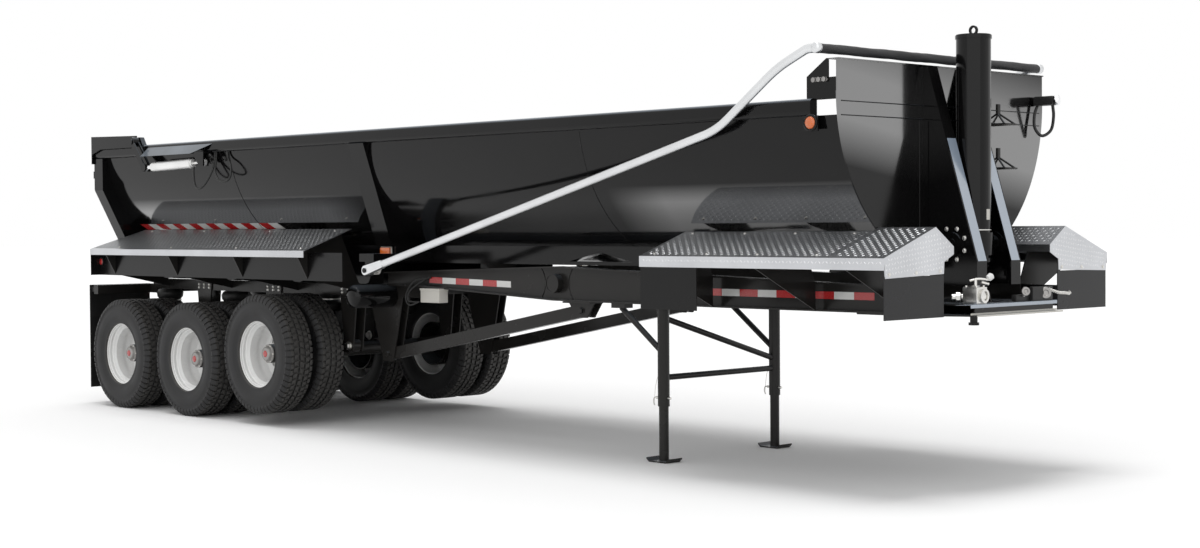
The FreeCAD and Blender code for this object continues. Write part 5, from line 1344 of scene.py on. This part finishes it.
@dataclass
class RunningGear(Assembly):
    """Air springs, brake chambers, nuts and bolts, the air tank and its lines."""

    HANGER_AHEAD = 0.48

    def build(self) -> None:
        """Dresses the suspension."""
        bellows = Shape()
        beads = Shape()
        chambers = Shape()
        for station, lift in AXLES.values():
            axle_z = TYRE_RADIUS + lift
            for sign in SIGNS:
                seat = at(station - 0.25, sign * 0.55, 0.905)
                bellows.lathe(((0.0, 0.102), (0.012, 0.118), (0.045, 0.132), (0.085, 0.126),
                               (0.105, 0.108), (0.118, 0.104), (0.131, 0.108), (0.152, 0.126),
                               (0.192, 0.132), (0.220, 0.116), (0.229, 0.102)), seat, UP, 40)
                beads.lathe(((0.112, 0.104), (0.112, 0.113), (0.124, 0.113), (0.124, 0.104)),
                            seat, UP, 40, closed=True)
                spot = at(station - 0.17, sign * 0.36, axle_z + 0.03)
                chambers.lathe(((0.0, 0.02), (0.0, 0.055), (0.012, 0.074), (0.055, 0.080),
                                (0.058, 0.088), (0.072, 0.088), (0.075, 0.080), (0.12, 0.074),
                                (0.132, 0.052), (0.134, 0.02)), spot, -AHEAD, 36)
                chambers.rod(spot, spot + Vector((0.10, 0, -0.02)), 0.012)
                chambers.box(at(station - 0.10, sign * 0.33, axle_z - 0.04),
                             at(station - 0.03, sign * 0.39, axle_z + 0.08), 0.004)
        self.put("air_spring_bellows", Coat.RUBBER, "chassis", "mud_flap", bellows, 60.0)
        self.put("air_spring_girdles", Coat.PLATED, "chassis", "black_paint", beads)
        self.put("brake_chambers", Coat.FRAME, "chassis", "black_paint", chambers)
        self._bolts()
        self._tank()
        self._lines()

    def _lines(self) -> None:
        """Air lines that loop down from the right rail behind the document box."""
        shape = Shape()
        for shift in (0.0, 0.030):
            line = [at(4.020 - shift, -0.612, 1.312), at(3.863 + shift, -0.660, 1.282 - shift),
                    at(3.778 + shift, -0.680, 1.188), at(3.764 + shift, -0.680, 1.119),
                    at(3.805 + shift, -0.670, 1.078 + shift), at(3.890, -0.640, 1.105)]
            shape.sweep(smooth_line(line), 0.0075, 8)
        self.put("air_lines", Coat.RUBBER, "chassis", "mud_flap", shape, 60.0)

    def _bolts(self) -> None:
        """Nuts on the pins of the hangers and draft arms, and the hangers' bolts."""
        big, small, dull = (Spread(hex_head(*size)) for size in
                            ((0.032, 0.028), (0.011, 0.009), (0.024, 0.020)))
        outer, inner = RAIL_FACE + 0.002, 0.493
        hangers = [station + self.HANGER_AHEAD for station, _ in AXLES.values()]
        for sign in SIGNS:
            out = ACROSS * sign
            for station in hangers:
                big.add(at(station, sign * outer, 0.690), out)
                big.add(at(station, sign * inner, 0.690), -out)
                for dx in (-0.09, 0.0, 0.09):
                    for z in (1.16, 1.19):
                        small.add(at(station + dx, sign * outer, z), out)
            for station, z in ((3.400, 0.640), (5.840, 1.085)):
                dull.add(at(station, sign * 0.595, z), out)
        for name, spread, coat in (("pin_nuts", big, Coat.PLATED),
                                   ("hanger_bolts", small, Coat.PLATED),
                                   ("draft_arm_nuts", dull, Coat.FRAME)):
            self.put(name, coat, "chassis", "black_paint", spread)

    def _tank(self) -> None:
        """Air tank slung across the frame ahead of the lift axle."""
        shape = Shape()
        start = at(3.445, -1.03, 1.150)
        shape.lathe(((0.0, 0.03), (0.008, 0.065), (0.024, 0.090), (0.045, 0.100), (0.44, 0.100),
                     (0.455, 0.090)), start, ACROSS, 40)
        self.put("air_tank", Coat.BLACK, "chassis", "black_paint", shape, 50.0)


@dataclass
class NoseGear(Assembly):
    """Valve, couplings and small fittings on the coupler, and on the doghouse."""

    LID_Z = 1.2153
    LID_X = 9.3518
    HOIST_X = 9.030
    TRUNNION_Z = 1.600
    BOLT_CIRCLE = 0.108
    BARREL_RADIUS = 0.1145

    def build(self) -> None:
        """Makes the fittings at the trailer's nose."""
        self._valve()
        self._couplings()
        self._lips()
        self._flanges()
        self._bolts()
        self._hoist_rings()

    def _valve(self) -> None:
        """Hydraulic valve with its unions and lever, on the right of the coupler's lid."""
        shape = Shape()
        x, y, seat = 9.275, -0.335, self.LID_Z
        shape.box(at(x - 0.060, y - 0.062, seat), at(x + 0.055, y + 0.055, seat + 0.112), 0.010)
        front = at(x + 0.055, y + 0.004, seat + 0.054)
        shape.lathe(((-0.004, 0.03), (-0.004, 0.047), (0.004, 0.047), (0.006, 0.040),
                     (0.010, 0.040), (0.012, 0.046), (0.018, 0.046), (0.020, 0.03)),
                    front, AHEAD, 32, closed=True)
        shape.lathe(((-0.002, 0.030), (0.010, 0.028), (0.014, 0.016)), front, AHEAD, 24)
        port = at(x - 0.055, y - 0.030, seat + 0.045)
        for along, radius in ((0.0, 0.024), (0.034, 0.030), (0.060, 0.018)):
            shape.lathe(((along, 0.008), (along, radius), (along + 0.026, radius),
                         (along + 0.030, 0.010)), port, Vector((-0.8, -0.6, 0)), 6 if along else 20)
        for dx, dy in ((-0.042, -0.044), (-0.042, 0.038), (0.036, -0.044), (0.036, 0.038)):
            shape.rod(at(x + dx, y + dy, seat + 0.108), at(x + dx, y + dy, seat + 0.120), 0.008, 6)
        post = at(x, y, seat + 0.110)
        shape.rod(post, post + Vector((0, 0, 0.045)), 0.011)
        lever = [post + Vector((-0.03, -0.02, 0.040)), post + Vector((0.01, 0.02, 0.052)),
                 post + Vector((0.05, 0.075, 0.046))]
        shape.sweep(smooth_line(lever, 6), 0.0075, 10)
        shape.rod(post + Vector((0.012, 0.05, 0.030)), post + Vector((0.045, 0.085, 0.018)), 0.010)
        self.put("hydraulic_valve", Coat.PLATED, "chassis", "bare_aluminium", shape, 30.0)
        knob = Shape()
        knob.lathe(((0.0, 0.014), (0.008, 0.022), (0.036, 0.023), (0.044, 0.014)),
                   post + Vector((0.045, 0.070, 0.050)), Vector((0.3, 0.6, 0.5)), 24)
        self.put("valve_knob", Coat.WHEEL, "chassis", "white_paint", knob, 40.0)

    def _couplings(self) -> None:
        """Air couplings on their bracket, with a chain to the left."""
        bracket = Shape()
        bracket.box(at(9.305, 0.235, self.LID_Z), at(9.335, 0.475, 1.312), 0.006)
        bracket.box(at(9.270, 0.080, self.LID_Z), at(9.310, 0.250, 1.262), 0.006)
        self.put("coupling_bracket", Coat.RUBBER, "chassis", "mud_flap", bracket)
        hands = Shape()
        for y, z, size in ((0.150, 1.284, 0.75), (0.385, 1.268, 1.0)):
            seat = at(9.330, y, z)
            facing = Vector((0.8, -0.6, 0.05))
            hands.lathe(((-0.03 * size, 0.014 * size), (0.006, 0.016 * size), (0.008, 0.036 * size),
                         (0.014, 0.040 * size), (0.020, 0.036 * size), (0.021, 0.022 * size),
                         (0.016, 0.016 * size)), seat, facing, 28)
            hands.rod(seat, seat + Vector((-0.01, 0.0, -0.045 * size)), 0.010 * size, 12)
        self.put("air_couplings", Coat.CAST, "chassis", "bare_aluminium", hands, 30.0)
        wire, reach = 0.0026, 0.0085
        profile = [(wire * math.sin(angle), reach + wire * math.cos(angle)) for angle in circle(8)]
        link = Shape().lathe(profile, Vector(), UP, 14, closed=True)
        chain = Spread(link.mesh("link", 60.0))
        line = smooth_line([at(9.338, 0.430, 1.290), at(9.350, 0.520, 1.268),
                            at(9.352, 0.600, 1.262), at(9.330, 0.690, 1.256),
                            at(9.290, 0.745, 1.268)], 9)
        for number, (point, ahead) in enumerate(zip(line, line[1:])):
            along = (ahead - point).normalized()
            facing = UP if number % 2 else along.cross(UP)
            chain.add(point, facing, along=along)
        self.put("coupling_chain", Coat.PLATED, "chassis", "bare_aluminium", chain)

    def _lips(self) -> None:
        """Painted sky reflection on the front edge of the coupler's lid, and the pale lip of its
        plate.
        """
        shape = Shape()
        lid = ((9.300, -0.585), (9.3515, -0.505), (9.3515, 0.505), (9.300, 0.585))
        shape.prism([at(x, y, self.LID_Z - 0.0001) for x, y in lid], UP * 0.001)
        shape.box(at(self.LID_X, -0.498, 1.194), at(9.3535, 0.498, 1.2155))
        self.put("coupler_lid_edge", Coat.SKY_REFLECTION, "chassis", "black_paint", shape)
        lip = Shape()
        lip.box(at(self.LID_X, -0.498, 1.1502), at(9.3530, 0.498, 1.162))
        lip.box(at(9.3995, -0.496, 1.1404), at(9.4012, 0.496, 1.1504))
        self.put("coupler_lip", Coat.LABEL, "chassis", "black_paint", lip)

    def _flanges(self) -> None:
        """Thin sheets of painted sky reflection on the faces of the doghouse's flanges, on the lower
        part of their slope.
        """
        shape = Shape()
        outline = ((8.986, 2.300), (9.2302, 1.490))
        for sign in (-1.0, 1.0):
            shape.ring([[at(x + out, sign * y, z) for out, y in
                         ((0.0, 0.143), (0.0, 0.238), (0.001, 0.238), (0.001, 0.143))]
                        for x, z in outline])
        self.put("doghouse_flange_faces", Coat.SKY_REFLECTION, "tub", "black_paint", shape, 20.0)

    def _bolts(self) -> None:
        """Bolts round the trunnion's bearings."""
        spread = Spread(hex_head(0.012, 0.010))
        for sign in (-1.0, 1.0):
            seat = at(self.HOIST_X, sign * 0.250, self.TRUNNION_Z)
            for angle in circle(8, 0.5):
                around = AHEAD * math.cos(angle) + UP * math.sin(angle)
                spread.add(seat + around * self.BOLT_CIRCLE, ACROSS * sign)
        self.put("trunnion_bolts", Coat.PLATED, "tub", "black_paint", spread)

    def _hoist_rings(self) -> None:
        """Welded ring and gland of the hoist's barrel, and its blank plate."""
        seat = at(self.HOIST_X, 0.0, 0.0)
        for name, coat, slot, bands in (
                ("barrel_rings", Coat.BLACK, "black_paint",
                 ((1.480, 1.505, 0.124), (2.960, 2.985, 0.121))),
                ("barrel_band", Coat.PLATED, "bare_aluminium", ((1.690, 1.696, 0.1170),))):
            shape = Shape()
            for low, high, radius in bands:
                shape.lathe(((low, self.BARREL_RADIUS), (low, radius), (high, radius),
                             (high, self.BARREL_RADIUS)), seat, UP, 56, closed=True)
            self.put(name, coat, "hoist_barrel", slot, shape)
        plate = Shape()
        rows = []
        for radius in (0.1152, 0.1162):
            spots = [(math.radians(-9.0 + 3.0 * k), z) for k, z in
                     [(k, 1.76) for k in range(7)] + [(k, 1.83) for k in reversed(range(7))]]
            rows.append([seat + Vector((radius * math.cos(angle), radius * math.sin(angle), z))
                         for angle, z in spots])
        plate.ring(rows)
        self.put("barrel_plate", Coat.LABEL, "hoist_barrel", "white_paint", plate)


@dataclass
class TubDress(Assembly):
    """Seams, springs, cleats, work lamp, wall steps and the rolled tarp on the tub."""

    def build(self) -> None:
        """Dresses the tub."""
        self._seams()
        self._bulkhead_seams()
        self._pivot_springs()
        self._cleats()
        self._work_lamp()
        self._steps()
        self._tarp()

    def _cleats(self) -> None:
        """Three small rollers on the outside of each front gusset."""
        shape = Shape()
        for sign in SIGNS:
            for station in (8.629, 8.672, 8.715):
                seat = at(station, sign * 1.159, 2.657)
                shape.lathe(((0.0, 0.010), (0.002, 0.016), (0.010, 0.012), (0.016, 0.012),
                             (0.024, 0.016), (0.026, 0.010)), seat, ACROSS * sign, 20)
        self.put("gusset_cleats", Coat.CAST, "tub", "bare_aluminium", shape, 30.0)

    def _work_lamp(self) -> None:
        """Lamp on a bar at the left of the front wall, with its looped lead."""
        bar = Shape()
        bar.box(at(8.8235, 1.020, 2.568), at(8.985, 1.105, 2.634), 0.014)
        lead = [at(8.845, 1.050, 2.575), at(8.838, 1.020, 2.500), at(8.848, 1.010, 2.410),
                at(8.880, 1.050, 2.355), at(8.925, 1.095, 2.395), at(8.950, 1.090, 2.490),
                at(8.955, 1.070, 2.572)]
        bar.sweep(smooth_line(lead), 0.011, 10)
        self.put("work_lamp_bar", Coat.RUBBER, "tub", "black_paint", bar)
        lens = Shape()
        lens.lathe(((0.0, 0.020), (0.0, 0.036), (0.020, 0.038), (0.026, 0.034), (0.028, 0.020),
                    (0.026, 0.006)), at(8.984, 1.063, 2.601), Vector((1, 0.35, 0)), 28)
        self.put("work_lamp_lens", Coat.CHROME, "tub", "bare_aluminium", lens, 40.0)

    def _steps(self) -> None:
        """Steps on the front wall: a strap, two splayed rods and a tread bar each."""
        shape = Shape()
        y, wall = 0.610, WALL_X
        for top in (2.565, 2.260):
            shape.box(at(wall, y - 0.017, top - 0.080), at(wall + 0.008, y + 0.017, top), 0.001)
            for sign in (-1.0, 1.0):
                tip = at(8.906, y + sign * 0.064, top - 0.142)
                shape.rod(at(wall + 0.006, y + sign * 0.010, top - 0.070), tip, 0.0070, 10)
                shape.rod(at(wall, y + sign * 0.064, top - 0.142), tip, 0.0070, 10)
            shape.box(at(8.884, y - 0.075, top - 0.1495), at(8.920, y + 0.075, top - 0.1375), 0.002)
        self.put("wall_steps", Coat.FRAME, "tub", "black_paint", shape, 40.0, ("bulkhead_steps",))

    def _seams(self) -> None:
        """Weld beads where the rolled plates meet, round the outside of the shell."""
        shape = Shape()
        for station in (1.800, 6.420):
            angles = [math.radians(-82.0 + 164.0 * k / 60) for k in range(61)]
            shape.sweep([at(station, TUB_RADIUS * math.sin(angle),
                            TUB_AXIS_Z - TUB_RADIUS * math.cos(angle)) for angle in angles],
                        0.0035, 6)
        self.put("shell_seams", Coat.BLACK, "tub", "black_paint", shape, 80.0)

    def _bulkhead_seams(self) -> None:
        """Folds and seams on the front wall."""
        shape = Shape()
        x = WALL_X + 0.0003
        for z in (2.43, 2.52):
            shape.sweep([at(x, -1.12, z), at(x, 1.12, z)], 0.004, 6)
        for y in (-0.30, 0.30):
            shape.sweep([at(x, y, 1.48), at(x, y, 2.42)], 0.003, 6)
        self.put("bulkhead_seams", Coat.BLACK, "tub", "black_paint", shape, 80.0)

    def _pivot_springs(self) -> None:
        """Coil springs beside the bow's pivots."""
        shape = Shape()
        (x, z), radius, wire, steps = BOW_PIVOT, 0.034, 0.010, 20
        for sign in SIGNS:
            path = []
            for k in range(7 * steps + 1):
                turn = 2 * math.pi * k / steps
                path.append(at(x + radius * math.cos(turn),
                               sign * (1.128 + wire * k / steps), z + radius * math.sin(turn)))
            shape.sweep(path, 0.0045, 6)
            shape.rod(at(x, sign * 1.120, z), at(x, sign * 1.212, z), 0.018)
        self.put("pivot_springs", Coat.PLATED, "tub", "black_paint", shape, 60.0)

    def _tarp(self) -> None:
        """The rolled tarp on the bow's cross tube."""
        seed = random.Random(7)
        lumps = [seed.uniform(-0.002, 0.002) for _ in range(49)]
        x, z = BOW_ROLL
        rows = []
        for i, lump in enumerate(lumps):
            y = -1.226 + 2.452 * i / 48
            row = []
            for angle in circle(40):
                radius = 0.031 + lump * 0.5 + 0.0012 * math.sin(3 * angle + i * 0.7)
                row.append(at(x + radius * math.cos(angle), y, z + radius * math.sin(angle)))
            rows.append(row)
        shape = Shape().ring(rows)
        self.put("tarp_roll_cloth", Coat.TARP, "tarp_bow", "tarp", shape, 60.0, ("tarp_roll",))


@dataclass
class TarpBow(Assembly):
    """Round-edged tubes of the tarp's bow, over its flat arms."""

    middle_y: float = 1.252
    half_w: float = 0.0220
    half_h: float = 0.0300
    socket_length: float = 0.230
    socket_half_h: float = 0.0385
    bore: float = 0.0210
    corners: tuple = (BOW_PIVOT, (7.863, 2.367), (8.389, 2.743), (8.640, 2.850), (8.700, 2.850))

    def build(self) -> None:
        """Makes the left and right tubes."""
        for side, sign in SIDES:
            mesh = merged("bow_tube", (self._tube(sign), self._socket(sign)), 50.0)
            Piece(self.shop, "bow_tube_" + side, Coat.BARE, "tarp_bow", "bare_aluminium",
                  ("tarp_arm_" + side,)).place(mesh)

    def _line(self) -> list:
        """Stations along the tube with its bends rounded, as (station, z)."""
        points = [Vector(corner) for corner in self.corners]
        start = points[0] + (points[1] - points[0]).normalized() * (self.socket_length - 0.04)
        line = [start]
        for before, corner, after in zip(points, points[1:], points[2:]):
            reach = min(0.12, 0.4 * (after - corner).length)
            first = corner + (before - corner).normalized() * reach
            last = corner + (after - corner).normalized() * reach
            for step in range(9):
                t = step / 8
                line.append(first * (1 - t) ** 2 + corner * (2 * t * (1 - t)) + last * t ** 2)
        line.append(points[-1])
        return line

    def _tube(self, sign: float) -> bpy.types.Mesh:
        """The bent tube with its oval section, and its end on the roll."""
        shape = Shape()
        line = self._line()
        rows = []
        for number, point in enumerate(line):
            ahead = line[min(number + 1, len(line) - 1)] - line[max(number - 1, 0)]
            up = Vector((-ahead.y, ahead.x)).normalized()
            row = []
            for angle in circle(24):
                spot = point + up * (self.half_h * math.sin(angle))
                row.append(at(spot.x, sign * self.middle_y + self.half_w * math.cos(angle), spot.y))
            rows.append(row)
        shape.ring(rows)
        x, z = BOW_ROLL
        ys = (sign * self.middle_y - self.half_w, sign * self.middle_y + self.half_w)
        shape.lathe(((0.0, 0.030), (0.004, 0.0338), (0.040, 0.0338), (0.044, 0.030)),
                    at(x, ys[0], z), Vector((0, ys[1] - ys[0], 0)), 32)
        return shape.mesh("tube", 50.0)

    def _socket(self, sign: float) -> bpy.types.Mesh:
        """The flat socket that turns on the pivot's pin."""
        x0, z0 = self.corners[0]
        x1, z1 = self.corners[1]
        slope = math.atan2(z1 - z0, x1 - x0)
        outline = []
        for k in range(17):
            angle = slope + math.radians(90.0 + 180.0 * k / 16)
            outline.append((x0 + self.socket_half_h * math.cos(angle),
                            z0 + self.socket_half_h * math.sin(angle)))
        reach = self.socket_length
        for edge in (-self.half_h, self.half_h):
            outline.append((x0 + reach * math.cos(slope) - edge * math.sin(slope),
                            z0 + reach * math.sin(slope) + edge * math.cos(slope)))
        low_y = sign * self.middle_y - self.half_w
        body = Shape()
        body.prism([at(x, low_y, z) for x, z in outline], Vector((0, 2 * self.half_w, 0)))
        tool = Shape().rod(at(x0, low_y - 0.02, z0), at(x0, low_y + 2 * self.half_w + 0.02, z0),
                           self.bore, 32)
        return Wheels.cut(body.mesh("socket"), tool.mesh("bore"))


@dataclass
class FrameDress(Assembly):
    """Boss covers, document box and leg pins."""

    def build(self) -> None:
        """Dresses the frame and the landing legs."""
        self._bosses()
        self._box()
        self._leg_pins()

    def _bosses(self) -> None:
        """Covers in the ends of the large cross tube, and weld beads beside it."""
        shape = Shape()
        x, z, weld = 5.576, 1.291, 0.17
        for sign in SIGNS:
            for turn in (-1.0, 1.0):
                angles = [math.radians(-44.0 + 5.5 * k) for k in range(17)]
                shape.sweep([at(x + turn * (0.135 + weld - weld * math.cos(angle)),
                                sign * (RAIL_FACE + 0.0005), z + weld * math.sin(angle))
                             for angle in angles],
                            0.0038, 6)
            shape.lathe(((0.0, 0.0648), (0.004, 0.0648)), at(x, sign * 0.655, z),
                        ACROSS * sign, 48)
        self.put("boss_covers", Coat.FRAME, "chassis", "black_paint", shape, 60.0)

    def _box(self) -> None:
        """Light document box on the right rail, with its lid and its bracket."""
        shape = Shape()
        ys = (-0.700, -0.6065)
        shape.box(at(3.985, ys[0], 1.105), at(4.235, ys[1], 1.218), 0.006)
        shape.box(at(3.980, ys[0] - 0.004, 1.206), at(4.240, ys[1] + 0.001, 1.224), 0.003)
        self.put("document_box", Coat.LABEL, "chassis", "white_paint", shape)
        strap = Shape()
        strap.box(at(3.99, ys[1], 1.11), at(4.23, -0.604, 1.255), 0.001)
        self.put("document_box_bracket", Coat.FRAME, "chassis", "black_paint", strap)

    def _leg_pins(self) -> None:
        """Lock pins through the sleeves, with their grips."""
        shape = Shape()
        for sign in SIGNS:
            y, z = sign * 0.620, 0.470
            shape.rod(at(6.668, y, z), at(6.812, y, z), 0.0095)
            path = [at(6.668, y, z), at(6.650, y, z), at(6.640, y, 0.455),
                    at(6.640, y, 0.425), at(6.650, y, 0.412)]
            shape.sweep(smooth_line(path), 0.005, 8)
            lanyard = [at(6.645, y, 0.455), at(6.660, y, 0.560), at(6.690, y, 0.640),
                       at(6.735, y, 0.700)]
            shape.sweep(smooth_line(lanyard), 0.002, 6)
        self.put("leg_pins", Coat.PLATED, "chassis", "bare_aluminium", shape, 40.0)


@dataclass
class Studio:
    """Camera, floor and light."""

    lens: float = 55.79
    spot: Point = (11.916, -10.390, 1.737)
    yaw: float = 136.168
    pitch: float = -1.487
    roll: float = -0.383
    floor_grey: float = 1.0
    bounce_grey: float = 0.70
    sky: float = 0.60
    sun: float = 1.25
    fill: float = 0.75

    def camera(self) -> None:
        """Sets the camera at the photograph's angle."""
        yaw, pitch, roll = (math.radians(v) for v in (self.yaw, self.pitch, self.roll))
        ahead = Vector((math.cos(pitch) * math.cos(yaw), math.cos(pitch) * math.sin(yaw),
                        math.sin(pitch)))
        right = ahead.cross(UP).normalized()
        up = right.cross(ahead)
        right2 = right * math.cos(roll) + up * math.sin(roll)
        up2 = up * math.cos(roll) - right * math.sin(roll)
        turn = Matrix((right2, up2, -ahead)).transposed().to_4x4()
        data = bpy.data.cameras.new("camera")
        data.lens = self.lens
        data.sensor_width = 36.0
        data.sensor_fit = "HORIZONTAL"
        data.clip_end = 500.0
        made = bpy.data.objects.new("camera", data)
        made.matrix_world = Matrix.Translation(Vector(self.spot)) @ turn
        bpy.context.scene.camera = show(made)

    @staticmethod
    def _seen(sheet: NodeSheet) -> Sock:
        """1 for rays from the camera and for reflections."""
        kind = "ShaderNodeLightPath"
        camera = sheet.node(kind, output="Is Camera Ray")
        gloss = sheet.node(kind, output="Is Glossy Ray")
        through = sheet.node(kind, output="Is Transmission Ray")
        return camera.max(gloss).max(through)

    def floor(self) -> None:
        """A wide pale floor."""
        sheet = NodeSheet("floor_paint")
        seen = self._seen(sheet)
        grey = self.bounce_grey + (self.floor_grey - self.bounce_grey) * seen
        tone = sheet.node("ShaderNodeCombineColor", None, {0: grey, 1: grey, 2: grey})
        paint = sheet.finish({"Base Color": tone, "Roughness": 1.0, "Specular IOR Level": 0.0})
        mesh = bpy.data.meshes.new("floor")
        reach = 160.0
        mesh.from_pydata([(-reach, -reach, 0), (reach, -reach, 0), (reach, reach, 0),
                          (-reach, reach, 0)], [], [(0, 1, 2, 3)])
        mesh.materials.append(paint)
        show(bpy.data.objects.new("floor", mesh))

    def light(self) -> None:
        """A pale sky and two broad lamps."""
        sheet = NodeSheet("sky", world=True)
        lit, seen = [sheet.node("ShaderNodeBackground", None,
                                {"Color": (1.0, 1.0, 1.0, 1.0), "Strength": strength})
                     for strength in (self.sky, 1.0)]
        bpy.context.scene.world = sheet.surface(
            sheet.node("ShaderNodeMixShader", None, {0: self._seen(sheet), 1: lit, 2: seen}))
        self._lamp("overhead", self.sun, 30.0, Vector((0.08, 0.02, -1.0)))
        self._lamp("fill", self.fill, 90.0, Vector((-0.55, 0.75, -0.35)))
        bpy.context.scene.view_settings.view_transform = "Standard"

    @staticmethod
    def _lamp(name: str, energy: float, spread: float, toward: Vector) -> None:
        """A broad distant lamp that shines along a direction."""
        data = bpy.data.lights.new(name, "SUN")
        data.energy = energy
        data.angle = math.radians(spread)
        made = bpy.data.objects.new(name, data)
        made.rotation_euler = toward.normalized().to_track_quat("-Z", "Y").to_euler()
        show(made)


def main() -> None:
    """Loads the frame, dresses it and sets the stage."""
    logging.basicConfig(level=logging.INFO, format="%(name)s: %(message)s")
    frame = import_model()
    studio = Studio()
    studio.camera()
    shop = Shop()
    Hoses(shop).build()
    CadDress(shop, frame).build()
    for assembly in (Wheels(shop), Decks(shop), Markings(shop), Lamps(shop), RunningGear(shop),
                     NoseGear(shop), TubDress(shop), TarpBow(shop), FrameDress(shop)):
        assembly.build()
    studio.floor()
    studio.light()
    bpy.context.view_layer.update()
    LOG.info("%d pieces made", shop.count)


if __name__ == "__main__":
    main()
